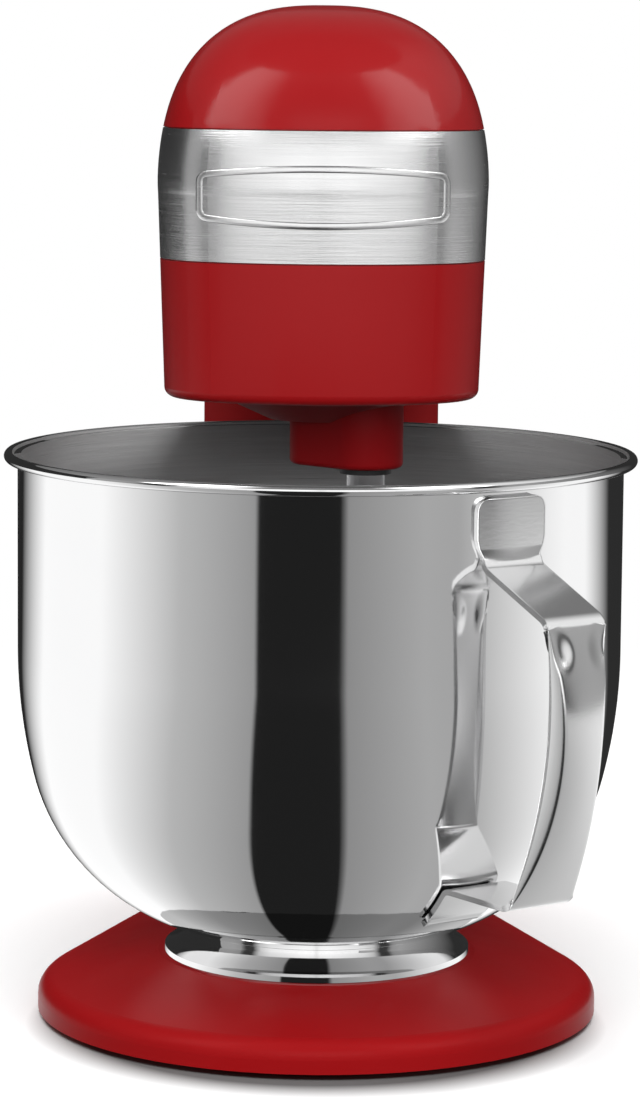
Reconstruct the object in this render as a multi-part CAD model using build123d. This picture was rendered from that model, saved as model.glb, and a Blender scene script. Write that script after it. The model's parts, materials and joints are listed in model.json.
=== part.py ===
"""Tilt-head stand mixer with a twist-lock bowl, in millimetres, +Z up, front towards -Y.

Every piece is drawn with the bowl axis on X = Y = 0 and the table at Z = 0.
At the end all pieces move together, so that the origin is the bottom centre of the whole mixer.
"""
from build123d import *

import os
from math import cos, pi, radians, sin, sqrt

# Clearances and fits
RUNNING = 0.05          # radial, shaft turning in a bore
SEATED = 0.02           # radial, piece pressed or glued into its seat
LOOSE = 0.3             # between bodies that pass each other
PARTING = 0.2           # between two flat faces of different bodies
OVERLAP = 1.0           # how far a joined or cutting shape runs past the face it meets

# Base
BASE_RADIUS = 101.8
BASE_TAPER = 19.0       # degrees, side of the base against its long axis
TAIL_HALF_WIDTH = 56.0
TAIL_LENGTH = 246.0     # bowl axis to the back of the base
TAIL_BLEND = 80.0       # radius where the taper meets the tail
FOOT_HEIGHT = 2.0
SKIRT_HEIGHT = 10.3
PLATEAU_RADIUS = 58.0
PLATEAU_RISE = 10.2     # skirt top to the plateau under the bowl
BASE_EDGE = 7.0         # rounding between skirt and slope
BASE_WALL = 5.0
BASE_FLOOR = 5.0
COVER_THICKNESS = 2.0
COVER_GAP = 0.4
RUBBER_RADIUS = 9.0
RUBBER_STEM = 3.0
RUBBER_STEM_LENGTH = 4.0
SCREW_RADIUS = 1.5
SCREW_HEAD_RADIUS = 3.0
SCREW_HEAD_HEIGHT = 1.4
SCREW_TIP_GAP = 1.0     # material or air left beyond the end of a screw
BOSS_RADIUS = 5.0

# Bowl clamp and twist lock
RECESS_RADIUS = 47.5
RECESS_DEPTH = 8.5
CLAMP_THICKNESS = 1.5
HOOK_COUNT = 4
HOOK_ANGLE = 24.0
LUG_THICKNESS = 2.0
LUG_REACH = 4.0
HOOK_THICKNESS = 2.0

# Column and hinge
COLUMN_WIDTH = 93.0
COLUMN_FRONT = 126.0
COLUMN_BACK = 212.0
COLUMN_FLARE = 7.0      # how much wider the foot of the column is on each side
FLARE_SHARE = 0.6       # part of the column's height that flares
FLARE_FRONT = 0.5       # flare towards the front, as a share of the sideways one
FLARE_BACK = 2.0        # flare towards the back, as a share of the sideways one
COLUMN_SECTIONS = 5
COLUMN_CORNER = 26.0
COLUMN_WALL = 5.0
HINGE_Y = 200.0
HINGE_DROP = 8.5        # hinge axis below the underside of the head
HEAD_TILT = 45.0        # degrees, how far the head tilts back
HINGE_PIN_RADIUS = 5.0
LUG_HALF_WIDTH = 20.0
LUG_RADIUS = 10.0
GROMMET_RADIUS = 7.0
GROMMET_FLANGE = 10.0
GROMMET_BORE = 3.6
GROMMET_Z = 42.0

# Head lock
LOCK_Y = 150.0
LOCK_PIN_RADIUS = 4.0
LOCK_REACH = 3.5        # lock pin above the underside of the head
LOCK_PLAY = 1.5
LOCK_COLLAR_RADIUS = 7.0
LOCK_COLLAR = 3.0
LOCK_STEM_RADIUS = 2.5
SPRING_WIRE = 1.2
SPRING_LENGTH = 18.0
SPRING_TURNS = 5
BRACKET_THICKNESS = 3.0
LEVER_BELOW_HEAD = 38.5     # lever axis below the underside of the head
LEVER_ARM = 15.28       # lever axis to the lock pin
LEVER_SHAFT_RADIUS = 4.0
LEVER_THICKNESS = 6.0
LEVER_LENGTH = 34.0
LEVER_DROOP = 35.0      # degrees below the horizontal
LEVER_HUB_RADIUS = 8.0
LEVER_END_RADIUS = 6.0

# Head
HEAD_UNDERSIDE = 227.5
HEAD_SPLIT = 299.0
HEAD_TOP = 364.5
HEAD_HALF_WIDTH = 57.8
HEAD_HALF_WIDTH_LOW = 55.3
HEAD_FRONT = 68.0       # bowl axis to the nose
HEAD_BACK_AXIS = 170.0  # where the rounding of the back starts from
HEAD_BACK = 60.0
NOSE_RADIUS = 85.0
NOSE_CORNER = 34.0
DOME_POWER = 2.5
DOME_ANGLES = (0, 18, 34, 48, 60, 70, 78, 84, 88)   # degrees up the dome, one cross-section each
HEAD_WALL = 3.5
HEAD_FLOOR = 4.5
HEAD_EDGE = 3.5
PLATE_LOW = 276.4
PLATE_HIGH = 321.5
PLATE_END = -6.0        # how far back the front plate reaches on the sides
PLATE_CORNER = 4.0
PLATE_THICKNESS = 1.2
PLATE_BACKING = 0.3
PLATE_LINE = 0.5
SHELL_BOSS_SINK = 1.0   # how far a boss reaches into the wall
SHELL_BOSS_YS = (10.0, 184.0)
SHELL_BOSS_HEIGHT = 10.0

# Bowl
BOWL_RADIUS = 109.0
BOWL_HEIGHT = 183.0     # seat to the top of the rim
BOWL_WALL = 1.2
BOWL_LIFT = 7.7         # bottom of the bowl above its seat
BOWL_LOWER_ARC = 76.8
BOWL_SIDE_ARC = 189.0
BOWL_ARC_BREAK = 14.0
RIM_LIP = 4.9           # rim beyond the wall
RIM_ROLL = 1.9
FOOT_RADIUS = 55.5
FOOT_NECK = 49.0
FOOT_INNER = 46.0
FOOT_EDGE = 2.0

# Bowl handle
HANDLE_TURN = -54.0     # degrees about Z, from +X
STRAP = 2.0
TAB_WIDTH = 29.5
TAB_TOP = 200.0
TAB_LOW = 178.0
TAB_CORNER = 5.0
GRIP_WIDTH = 24.0
GRIP_LOW_WIDTH = 27.0   # strap at its lower bend
GRIP_TOP_REACH = 35.5   # outer face of the grip beyond the bowl's wall, at its upper bend
GRIP_TOP_Z = 162.5
GRIP_MIDDLE_REACH = 42.0
GRIP_MIDDLE_Z = 122.5
GRIP_LOW_REACH = 18.5
GRIP_LOW_Z = 61.0
GRIP_BEND = 7.0
CHANNEL_DEPTH = 8.0
CHANNEL_EDGE = 1.6
LOWER_TAB_LOW = 47.3
WELD = 0.05

# Planetary gears
MODULE = 1.5
RING_TEETH = 42
BEATER_TEETH = 15
MAIN_TEETH = 60
LAY_TEETH = 15
TOOTH_SHARE = 0.40      # tooth thickness on the pitch circle, as a share of the pitch
TOOTH_LEAN = 0.36       # how far a flank leans in over one module of height, in modules
WHEEL_TIP = 0.85        # tooth beyond the pitch circle, in modules
WHEEL_ROOT = 1.15       # tooth inside the pitch circle, in modules
RING_ROOT = 1.25        # tooth space of the ring gear beyond the pitch circle, in modules
RING_TIP = 0.80         # tooth of the ring gear inside the pitch circle, in modules
GEAR_WIDTH = 9.0
RING_WALL = 6.0
SHAFT_TURN = -37.9      # degrees about Z, beater shaft at rest
CARRIER_RADIUS = 35.5
CARRIER_GAP = 0.7
CARRIER_RIM = 2.5       # underside of the head to the lower edge of the carrier's rim
CARRIER_DISH_RADIUS = 19.0
CARRIER_DISH = 7.5
CARRIER_BOTTOM = 26.5   # underside of the head to the underside of the carrier
HUB_RADIUS = 11.3
SHAFT_HOUSING = 13.4
BUSH_WALL = 2.0
BUSH_LENGTH = 8.0
BEATER_RADIUS = 7.0
BEATER_TIP_RADIUS = 6.35
BEATER_TIP = 20.0
BEATER_REACH = 38.0     # underside of the carrier to the end of the beater shaft
BEATER_PIN_RADIUS = 2.0
BEATER_PIN_LENGTH = 22.0
COLLAR_RADIUS = 9.2
COLLAR_HEIGHT = 2.0

# Gearbox, belt and motor
MAIN_SHAFT_RADIUS = 6.0
LAYSHAFT_RADIUS = 5.0
BEARING_WALL = 7.0
BEARING_WIDTH = 9.0
PLATE_GAP = 3.0         # ring gear to the lower gearbox plate
GEAR_SPACE = 22.0       # between the two gearbox plates
PILLAR_RADIUS = 4.0
PILLAR_PLACES = ((20.0, -48.0), (43.0, 28.0), (30.0, 70.0))
PILLAR_MARGIN = 6.0
BELT_THICKNESS = 2.2
BELT_WIDTH = 10.0
PULLEY_WIDTH = 12.0
DRIVEN_PULLEY = 36.0
MOTOR_PULLEY = 12.0
MOTOR_Y = 131.0
MOTOR_SHAFT_RADIUS = 4.0
STATOR_SIDE = 62.0
STATOR_HEIGHT = 28.0
ROTOR_RADIUS = 18.0
AIR_GAP = 0.6
COMMUTATOR_RADIUS = 10.0
COMMUTATOR_LENGTH = 6.0
BRUSH_LENGTH = 13.0
MOTOR_PLATE = 4.0
MOTOR_BEARING_WALL = 4.0
FAN_RADIUS = 29.0
FAN_HEIGHT = 8.0
FAN_BLADES = 9
BLADE_THICKNESS = 1.5

# Speed dial and its electrics
DIAL_Y = 165.0
DIAL_Z = 289.0
DIAL_RADIUS = 20.0
DIAL_THICKNESS = 6.0
DIAL_GRIP = 7.0
SPINDLE_RADIUS = 3.0
SWITCH_SIDE = 26.0
SWITCH_DEPTH = 17.0
BOARD_LENGTH = 60.0
BOARD_WIDTH = 44.0
BOARD_THICKNESS = 1.6
BOARD_LEG = 3.0

# Levels that follow from the sizes above
BASE_BOTTOM = FOOT_HEIGHT
SKIRT_TOP = BASE_BOTTOM + SKIRT_HEIGHT
SEAT_Z = SKIRT_TOP + PLATEAU_RISE
RECESS_Z = SEAT_Z - RECESS_DEPTH
BASE_CEILING = RECESS_Z - BASE_FLOOR
COVER_TOP = BASE_BOTTOM + COVER_THICKNESS
COLUMN_TOP = HEAD_UNDERSIDE - PARTING
HINGE_Z = HEAD_UNDERSIDE - HINGE_DROP
LEVER_Z = HEAD_UNDERSIDE - LEVER_BELOW_HEAD
BOWL_SEAT = SEAT_Z + PARTING
RIM_RADIUS = BOWL_RADIUS + RIM_LIP
GRIP_TOP = (BOWL_RADIUS + GRIP_TOP_REACH, GRIP_TOP_Z)
GRIP_MIDDLE = (BOWL_RADIUS + GRIP_MIDDLE_REACH, GRIP_MIDDLE_Z)
GRIP_LOW = (BOWL_RADIUS + GRIP_LOW_REACH, GRIP_LOW_Z)
RIM_TOP = BOWL_SEAT + BOWL_HEIGHT
FLOOR_TOP = HEAD_UNDERSIDE + HEAD_FLOOR
PLANET_OFFSET = MODULE * (RING_TEETH - BEATER_TEETH) / 2
LAYSHAFT_Y = MODULE * (MAIN_TEETH + LAY_TEETH) / 2
RING_TOP = FLOOR_TOP + GEAR_WIDTH + 2 * LOOSE
LOWER_PLATE_Z = RING_TOP + PLATE_GAP
UPPER_PLATE_Z = LOWER_PLATE_Z + BEARING_WIDTH + GEAR_SPACE
GEARBOX_TOP = UPPER_PLATE_Z + BEARING_WIDTH
GEAR_Z = LOWER_PLATE_Z + BEARING_WIDTH + (GEAR_SPACE - GEAR_WIDTH) / 2
PULLEY_Z = GEARBOX_TOP + PULLEY_WIDTH / 2
FAN_Z = PULLEY_Z + PULLEY_WIDTH + MOTOR_SHAFT_RADIUS
CARRIER_TOP = FLOOR_TOP - PARTING
CARRIER_BASE = HEAD_UNDERSIDE - CARRIER_BOTTOM
BEATER_END = CARRIER_BASE - BEATER_REACH
MOTOR_PLATE_Z = FLOOR_TOP + PLATE_GAP
UPPER_MOTOR_PLATE_Z = GEARBOX_TOP
STATOR_TOP = UPPER_MOTOR_PLATE_Z - PLATE_GAP
STATOR_Z = STATOR_TOP - STATOR_HEIGHT
BASE_SCREW_PLACES = ((82.0, 0.0), (-82.0, 0.0), (0.0, -82.0), (44.0, 150.0), (-44.0, 150.0))
RUBBER_PLACES = ((60.0, -50.0), (-60.0, -50.0), (36.0, 196.0), (-36.0, 196.0))
CLAMP_SCREW_RING = 22.0
CLAMP_SCREW_COUNT = 3
UPRIGHT = (Align.CENTER, Align.CENTER, Align.MIN)


def rod(radius, low, high, x=0.0, y=0.0):
    """Upright cylinder between two levels."""
    return Pos(x, y, low) * Cylinder(radius, high - low, align=UPRIGHT)


def tube(outer, inner, low, high, x=0.0, y=0.0):
    """Upright sleeve between two levels."""
    return rod(outer, low, high, x, y) - rod(inner, low - OVERLAP, high + OVERLAP, x, y)


def cross_rod(radius, left, right, y, z):
    """Cylinder along X."""
    return Pos(left, y, z) * Rot(0, 90, 0) * Cylinder(radius, right - left, align=UPRIGHT)


def block(x_low, x_high, y_low, y_high, z_low, z_high):
    """Box between two corners."""
    middle = Pos((x_low + x_high) / 2, (y_low + y_high) / 2, z_low)
    return middle * Box(x_high - x_low, y_high - y_low, z_high - z_low, align=UPRIGHT)


def turned(points):
    """Solid of revolution about Z from a closed outline of (radius, height) points."""
    outline = make_face(Polyline(*points, close=True))
    return revolve(Plane.XZ * outline, axis=Axis.Z)


def group(solids):
    """Several separate solids in one node."""
    return Compound([solid for shape in solids for solid in shape.solids()])


def arc_between(centre, radius, start, end):
    """Shorter arc of a circle between two of its points."""
    middle = (Vector(*start) + Vector(*end)) / 2 - Vector(*centre)
    return ThreePointArc(start, Vector(*centre) + middle.normalized() * radius, end)


def screw(x, y, head_low, head_high, end):
    """Pan-head screw along Z; its shank runs from the head to the end level."""
    start = head_high if end > head_low else head_low
    head = rod(SCREW_HEAD_RADIUS, head_low, head_high, x, y)
    return head + rod(SCREW_RADIUS, min(start, end), max(start, end), x, y)


def sector(outer, inner, low, high, middle_angle, width):
    """Part of a ring, width degrees wide."""
    reach = 2 * outer
    half = radians(width / 2)
    wedge = Polyline((0, 0), (reach * cos(half), -reach * sin(half)),
                     (reach * cos(half), reach * sin(half)), close=True)
    slice_solid = extrude(Pos(0, 0, low) * make_face(wedge), amount=high - low)
    return tube(outer, inner, low, high) & (Rot(0, 0, middle_angle) * slice_solid)


def gear_outline(teeth, tip_radius, root_radius, share):
    """Spur gear with straight flanks; a tooth is centred on +X."""
    pitch_radius = MODULE * teeth / 2
    pitch = 2 * pi / teeth
    flank = TOOTH_LEAN * MODULE / pitch_radius
    lift = (tip_radius - pitch_radius) / MODULE
    drop = (pitch_radius - root_radius) / MODULE
    points = []
    for tooth in range(teeth):
        centre = tooth * pitch
        half = share * pitch / 2
        for radius, angle in (
                (root_radius, centre - half - flank * drop), (tip_radius, centre - half + flank * lift),
                (tip_radius, centre + half - flank * lift), (root_radius, centre + half + flank * drop)):
            points.append((radius * cos(angle), radius * sin(angle)))
    return make_face(Polyline(*points, close=True))


def spur_gear(teeth, bore, low, width, turn=0.0):
    """Gear with a plain bore, centred on Z."""
    pitch_radius = MODULE * teeth / 2
    face = gear_outline(teeth, pitch_radius + WHEEL_TIP * MODULE, pitch_radius - WHEEL_ROOT * MODULE,
                        TOOTH_SHARE)
    wheel = extrude(Pos(0, 0, low) * Rot(0, 0, turn) * face, amount=width)
    return wheel - rod(bore, low - OVERLAP, low + width + OVERLAP)


# Base and column

def base_outline(inset, z):
    """Plan of the base: a disc under the bowl whose sides taper into a round tail."""
    radius = BASE_RADIUS - inset
    tail = TAIL_HALF_WIDTH - inset
    back = TAIL_LENGTH - TAIL_HALF_WIDTH
    blend = TAIL_BLEND + inset
    taper = radians(BASE_TAPER)
    touch = (radius * cos(taper), radius * sin(taper))
    corner_y = (radius - tail * cos(taper)) / sin(taper)
    run = blend * sin(taper / 2) / cos(taper / 2)
    leave = (tail + run * sin(taper), corner_y - run * cos(taper))
    meet = (tail, corner_y + run)

    def side(sign):
        def place(point):
            return (sign * point[0], point[1])
        return [Line(place(touch), place(leave)),
                arc_between(place((tail + blend, corner_y + run)), blend, place(leave), place(meet)),
                Line(place(meet), place((tail, back)))]

    edges = [ThreePointArc((-touch[0], touch[1]), (0, -radius), touch)] + side(1) + side(-1)
    edges.append(ThreePointArc((tail, back), (0, back + tail), (-tail, back)))
    return Pos(0, 0, z) * make_face(edges)


def column_flare(z):
    """How much wider the column is at a height than at its top, on each side."""
    return COLUMN_FLARE * max(0.0, 1 - (z - SKIRT_TOP) / (FLARE_SHARE * COLUMN_TOP)) ** 2


def column_back(z):
    """Back face of the column at a height."""
    return COLUMN_BACK + FLARE_BACK * column_flare(z)


def column_form(inset, low, high):
    """Column, wider towards its foot."""
    sections = []
    for section in range(COLUMN_SECTIONS):
        z = low + (high - low) * section / (COLUMN_SECTIONS - 1)
        width = COLUMN_WIDTH + 2 * column_flare(z) - 2 * inset
        front = COLUMN_FRONT - FLARE_FRONT * column_flare(z) + inset
        back = column_back(z) - inset
        plan = RectangleRounded(width, back - front, COLUMN_CORNER - inset)
        sections.append(Pos(0, (front + back) / 2, z) * plan)
    return loft(sections)


def base_form():
    """Base with its skirt, its rounded edge and the slope up to the bowl's seat."""
    skirt = extrude(base_outline(0, BASE_BOTTOM), amount=SKIRT_HEIGHT)
    inset = BASE_RADIUS - PLATEAU_RADIUS
    slope = loft([base_outline(0, SKIRT_TOP), base_outline(inset, SEAT_Z)], ruled=True)
    body = skirt + slope
    crease = [edge for edge in body.edges() if abs(edge.center().Z - SKIRT_TOP) < 0.01]
    return fillet(crease, BASE_EDGE)


def pedestal():
    """Base and column in one hollow casting, open at the bottom."""
    body = base_form() + column_form(0, SKIRT_TOP - OVERLAP, COLUMN_TOP)
    body -= extrude(base_outline(BASE_WALL, BASE_BOTTOM - OVERLAP),
                    amount=BASE_CEILING - BASE_BOTTOM + OVERLAP)
    body -= column_form(COLUMN_WALL, BASE_BOTTOM, HINGE_Z - LUG_RADIUS - COLUMN_WALL)
    body -= block(-COLUMN_WIDTH / 4, COLUMN_WIDTH / 4, LOCK_Y - 2 * LOCK_COLLAR_RADIUS,
                  LOCK_Y + 2 * LOCK_COLLAR_RADIUS, LEVER_Z, COLUMN_TOP - 2 * COLUMN_WALL)
    body += [rod(BOSS_RADIUS, COVER_TOP, BASE_CEILING + OVERLAP, x, y) for x, y in BASE_SCREW_PLACES]
    for x, y in BASE_SCREW_PLACES:
        body -= rod(SCREW_RADIUS + RUNNING, BASE_BOTTOM, BASE_CEILING, x, y)
    body -= rod(RECESS_RADIUS, RECESS_Z, SEAT_Z + OVERLAP)
    for x, y in clamp_screw_places():
        body -= rod(SCREW_RADIUS + RUNNING, BASE_CEILING - OVERLAP, RECESS_Z + OVERLAP, x, y)
    slot_half = LUG_HALF_WIDTH + 2 * LOOSE
    body -= block(-slot_half, slot_half, HINGE_Y - LUG_RADIUS - OVERLAP, COLUMN_BACK + COLUMN_WIDTH,
                  HINGE_Z - LUG_RADIUS - OVERLAP, COLUMN_TOP + OVERLAP)
    body -= cross_rod(HINGE_PIN_RADIUS + SEATED, -COLUMN_WIDTH, COLUMN_WIDTH, HINGE_Y, HINGE_Z)
    swing = Pos(0, HINGE_Y, HINGE_Z) * Rot(-HEAD_TILT, 0, 0)
    room = Box(2 * COLUMN_WIDTH, 2 * COLUMN_WIDTH, COLUMN_WIDTH, align=UPRIGHT)
    body -= swing * Pos(0, 0, HINGE_DROP - 5 * LOOSE) * room
    body -= rod(LOCK_PIN_RADIUS + RUNNING, LEVER_Z, COLUMN_TOP + OVERLAP, 0, LOCK_Y)
    body -= cross_rod(LEVER_SHAFT_RADIUS + RUNNING, 0, COLUMN_WIDTH, LOCK_Y + LEVER_ARM, LEVER_Z)
    body -= Pos(0, column_back(GROMMET_Z) + COLUMN_WALL, GROMMET_Z) * Rot(90, 0, 0) * Cylinder(
        GROMMET_RADIUS + SEATED, 4 * COLUMN_WALL, align=UPRIGHT)
    return body


def clamp_screw_places():
    """Centres of the bowl clamp's screws."""
    places = []
    for index in range(CLAMP_SCREW_COUNT):
        angle = radians(90 + 360 * index / CLAMP_SCREW_COUNT)
        places.append((CLAMP_SCREW_RING * cos(angle), CLAMP_SCREW_RING * sin(angle)))
    return places


def base_cover():
    """Flat cover that closes the base from below."""
    plate = extrude(base_outline(BASE_WALL + COVER_GAP, BASE_BOTTOM), amount=COVER_THICKNESS)
    for x, y in BASE_SCREW_PLACES:
        plate -= rod(SCREW_RADIUS + RUNNING, 0, SEAT_Z, x, y)
    for x, y in RUBBER_PLACES:
        plate -= rod(RUBBER_STEM + SEATED, 0, SEAT_Z, x, y)
    return plate


def rubber_foot(x, y):
    """Rubber foot with its stem through the bottom cover."""
    pad = rod(RUBBER_RADIUS, 0, FOOT_HEIGHT, x, y)
    pad = chamfer(pad.edges().group_by(Axis.Z)[0], FOOT_HEIGHT / 4)
    return pad + rod(RUBBER_STEM, FOOT_HEIGHT, FOOT_HEIGHT + RUBBER_STEM_LENGTH, x, y)


def cover_screws():
    """Screws of the bottom cover."""
    return group([screw(x, y, BASE_BOTTOM - SCREW_HEAD_HEIGHT, BASE_BOTTOM, BASE_CEILING - SCREW_TIP_GAP)
                  for x, y in BASE_SCREW_PLACES])


def lug_levels():
    """Under and upper side of the foot's lugs."""
    low = RECESS_Z + CLAMP_THICKNESS + 2 * LOOSE
    return low, low + LUG_THICKNESS


def bowl_clamp():
    """Plate in the base's recess; its hooks reach over the lugs of the bowl's foot."""
    plate_top = RECESS_Z + CLAMP_THICKNESS
    lug_high = lug_levels()[1]
    lug_inner = FOOT_INNER - BOWL_WALL - LUG_REACH
    post_inner = lug_inner - 2 * LOOSE - HOOK_THICKNESS
    body = rod(FOOT_INNER - BOWL_WALL - LUG_REACH / 2, RECESS_Z, plate_top)
    for index in range(HOOK_COUNT):
        angle = 360 * index / HOOK_COUNT
        hook_low = lug_high + 2 * LOOSE
        body += sector(post_inner + HOOK_THICKNESS, post_inner, RECESS_Z, hook_low + HOOK_THICKNESS,
                       angle, HOOK_ANGLE)
        body += sector(lug_inner + LUG_REACH - 2 * LOOSE, post_inner, hook_low,
                       hook_low + HOOK_THICKNESS, angle, HOOK_ANGLE)
    for x, y in clamp_screw_places():
        body -= rod(SCREW_RADIUS + RUNNING, RECESS_Z - OVERLAP, SEAT_Z, x, y)
    return body


def clamp_screws():
    """Screws of the bowl clamp."""
    plate_top = RECESS_Z + CLAMP_THICKNESS
    return group([screw(x, y, plate_top, plate_top + SCREW_HEAD_HEIGHT, BASE_CEILING)
                  for x, y in clamp_screw_places()])


def hinge_pin():
    """Pin that the head tilts on."""
    half = COLUMN_WIDTH / 2 - HINGE_PIN_RADIUS / 4
    pin = cross_rod(HINGE_PIN_RADIUS, -half, half, HINGE_Y, HINGE_Z)
    return chamfer(pin.edges().filter_by(GeomType.CIRCLE), HINGE_PIN_RADIUS / 6)


def cord_grommet(casting):
    """Rubber grommet of the power inlet at the back of the column."""
    back = column_back(GROMMET_Z)
    sleeve = Pos(0, back, GROMMET_Z) * Rot(90, 0, 0) * Cylinder(
        GROMMET_RADIUS, 1.5 * COLUMN_WALL, align=UPRIGHT)
    flange = Pos(0, back + BASE_WALL / 2, GROMMET_Z) * Rot(90, 0, 0) * Cylinder(
        GROMMET_FLANGE, BASE_WALL, align=UPRIGHT)
    bore = Pos(0, back + COLUMN_WALL, GROMMET_Z) * Rot(90, 0, 0) * Cylinder(
        GROMMET_BORE, 4 * COLUMN_WALL, align=UPRIGHT)
    return (flange - casting) + sleeve - bore


# Head lock

def lock_levels():
    """Under side and upper side of the lock pin's collar."""
    high = LEVER_Z - LEVER_SHAFT_RADIUS + LEVER_SHAFT_RADIUS / 3 - 2 * LOOSE
    return high - LOCK_COLLAR, high


def lock_pin():
    """Sprung pin that holds the head down."""
    collar_low, collar_high = lock_levels()
    tip = HEAD_UNDERSIDE + LOCK_REACH
    pin = rod(LOCK_PIN_RADIUS, collar_low, tip, 0, LOCK_Y)
    pin = chamfer(pin.edges().group_by(Axis.Z)[-1], LOCK_PIN_RADIUS / 4)
    pin += rod(LOCK_COLLAR_RADIUS, collar_low, collar_high, 0, LOCK_Y)
    stem_end = collar_low - SPRING_LENGTH - BRACKET_THICKNESS - 2 * LOOSE
    return pin + rod(LOCK_STEM_RADIUS, stem_end, collar_low, 0, LOCK_Y)


def lock_spring():
    """Compression spring between the bracket and the collar of the lock pin."""
    low = lock_levels()[0] - SPRING_LENGTH
    reach = LOCK_COLLAR_RADIUS - SPRING_WIRE
    height = SPRING_LENGTH - SPRING_WIRE - 2 * LOOSE
    path = Pos(0, LOCK_Y, low + LOOSE + SPRING_WIRE / 2) * Helix(height / SPRING_TURNS, height, reach)
    section = Plane(path @ 0, z_dir=path % 0) * Circle(SPRING_WIRE / 2)
    return sweep(section, path=path)


def lock_bracket():
    """Shelf across the column that carries the spring."""
    top = lock_levels()[0] - SPRING_LENGTH
    half = COLUMN_WIDTH / 2 - COLUMN_WALL - PARTING
    shelf = block(-half, half, LOCK_Y - 2 * LOCK_COLLAR_RADIUS, LOCK_Y + 2 * LOCK_COLLAR_RADIUS,
                  top - BRACKET_THICKNESS, top)
    shelf &= column_form(COLUMN_WALL + PARTING, BASE_BOTTOM, HINGE_Z)
    return shelf - rod(LOCK_STEM_RADIUS + LOOSE, 0, HEAD_TOP, 0, LOCK_Y)


def release_lever():
    """Lever at the side of the column; its crank presses the collar of the lock pin down."""
    pivot_y = LOCK_Y + LEVER_ARM
    beside_pin = LOCK_PIN_RADIUS + 2 * LOOSE
    outside = COLUMN_WIDTH / 2 + 2 * LOOSE
    shaft = cross_rod(LEVER_SHAFT_RADIUS, beside_pin, outside + LEVER_THICKNESS / 2, pivot_y, LEVER_Z)
    half = LEVER_SHAFT_RADIUS - LEVER_SHAFT_RADIUS / 3
    crank = block(beside_pin, beside_pin + LOCK_PIN_RADIUS, LOCK_Y, pivot_y,
                  LEVER_Z - half, LEVER_Z + half)
    hub = Circle(LEVER_HUB_RADIUS)
    end = Pos(LEVER_LENGTH, 0) * Circle(LEVER_END_RADIUS)
    paddle = extrude(make_hull((hub + end).edges()), amount=LEVER_THICKNESS)
    paddle = fillet(paddle.edges().group_by(Axis.Z)[-1], LEVER_THICKNESS / 3)
    paddle = Rot(-LEVER_DROOP, 0, 0) * (Plane.YZ * paddle)
    paddle = Pos(outside, pivot_y, LEVER_Z) * paddle
    return shaft + crank + paddle


# Bowl

def bowl_form(inset, top):
    """Solid inside the bowl's outer surface, moved inwards by the inset."""
    turn = radians(BOWL_ARC_BREAK)
    bottom = BOWL_SEAT + BOWL_LIFT
    lower_x = BOWL_RADIUS - BOWL_SIDE_ARC * (1 - cos(turn)) - BOWL_LOWER_ARC * cos(turn)
    lower_z = bottom + BOWL_LOWER_ARC
    side_x = BOWL_RADIUS - BOWL_SIDE_ARC
    side_z = lower_z - BOWL_LOWER_ARC * sin(turn) + BOWL_SIDE_ARC * sin(turn)
    lower = BOWL_LOWER_ARC - inset
    side = BOWL_SIDE_ARC - inset
    start = (lower_x, bottom + inset)
    change = (lower_x + lower * cos(turn), lower_z - lower * sin(turn))
    wall = (side_x + side, side_z)
    outline = [Line((0, top), (0, start[1])), Line((0, start[1]), start),
               arc_between((lower_x, lower_z), lower, start, change),
               arc_between((side_x, side_z), side, change, wall),
               Line(wall, (wall[0], top)), Line((wall[0], top), (0, top))]
    return revolve(Plane.XZ * make_face(outline), axis=Axis.Z)


def bowl():
    """Thin-walled bowl with a rolled rim."""
    roll_z = RIM_TOP - RIM_ROLL
    shell = bowl_form(0, roll_z)
    shell += tube(RIM_RADIUS - RIM_ROLL, BOWL_RADIUS - BOWL_WALL,
                  roll_z - BOWL_WALL / 2, roll_z + BOWL_WALL / 2)
    roll = Plane.XZ * (Pos(RIM_RADIUS - RIM_ROLL, roll_z) * Circle(RIM_ROLL))
    shell += revolve(roll, axis=Axis.Z)
    return shell - bowl_form(BOWL_WALL, RIM_TOP + OVERLAP)


def bowl_foot():
    """Foot ring under the bowl, with the lugs of the twist lock."""
    lug_low, lug_high = lug_levels()
    top = BOWL_SEAT + 3 * BOWL_LIFT
    inner = FOOT_INNER - BOWL_WALL
    cove = ThreePointArc(
        (FOOT_RADIUS, BOWL_SEAT + FOOT_EDGE),
        ((FOOT_RADIUS + 3 * FOOT_NECK) / 4, BOWL_SEAT + FOOT_EDGE + BOWL_LIFT / 2),
        (FOOT_NECK, BOWL_SEAT + FOOT_EDGE + 2 * BOWL_LIFT))
    outline = [Line((inner, lug_low), (FOOT_INNER, lug_low)),
               Line((FOOT_INNER, lug_low), (FOOT_INNER, BOWL_SEAT)),
               Line((FOOT_INNER, BOWL_SEAT), (FOOT_RADIUS, BOWL_SEAT)),
               Line((FOOT_RADIUS, BOWL_SEAT), (FOOT_RADIUS, BOWL_SEAT + FOOT_EDGE)), cove,
               Line((FOOT_NECK, BOWL_SEAT + FOOT_EDGE + 2 * BOWL_LIFT), (FOOT_NECK, top)),
               Line((FOOT_NECK, top), (inner, top)), Line((inner, top), (inner, lug_low))]
    ring = revolve(Plane.XZ * make_face(outline), axis=Axis.Z)
    for index in range(HOOK_COUNT):
        ring += sector(inner + BOWL_WALL / 2, inner - LUG_REACH, lug_low, lug_high,
                       360 * index / HOOK_COUNT, HOOK_ANGLE)
    return ring - bowl_form(-WELD, RIM_TOP)


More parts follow.
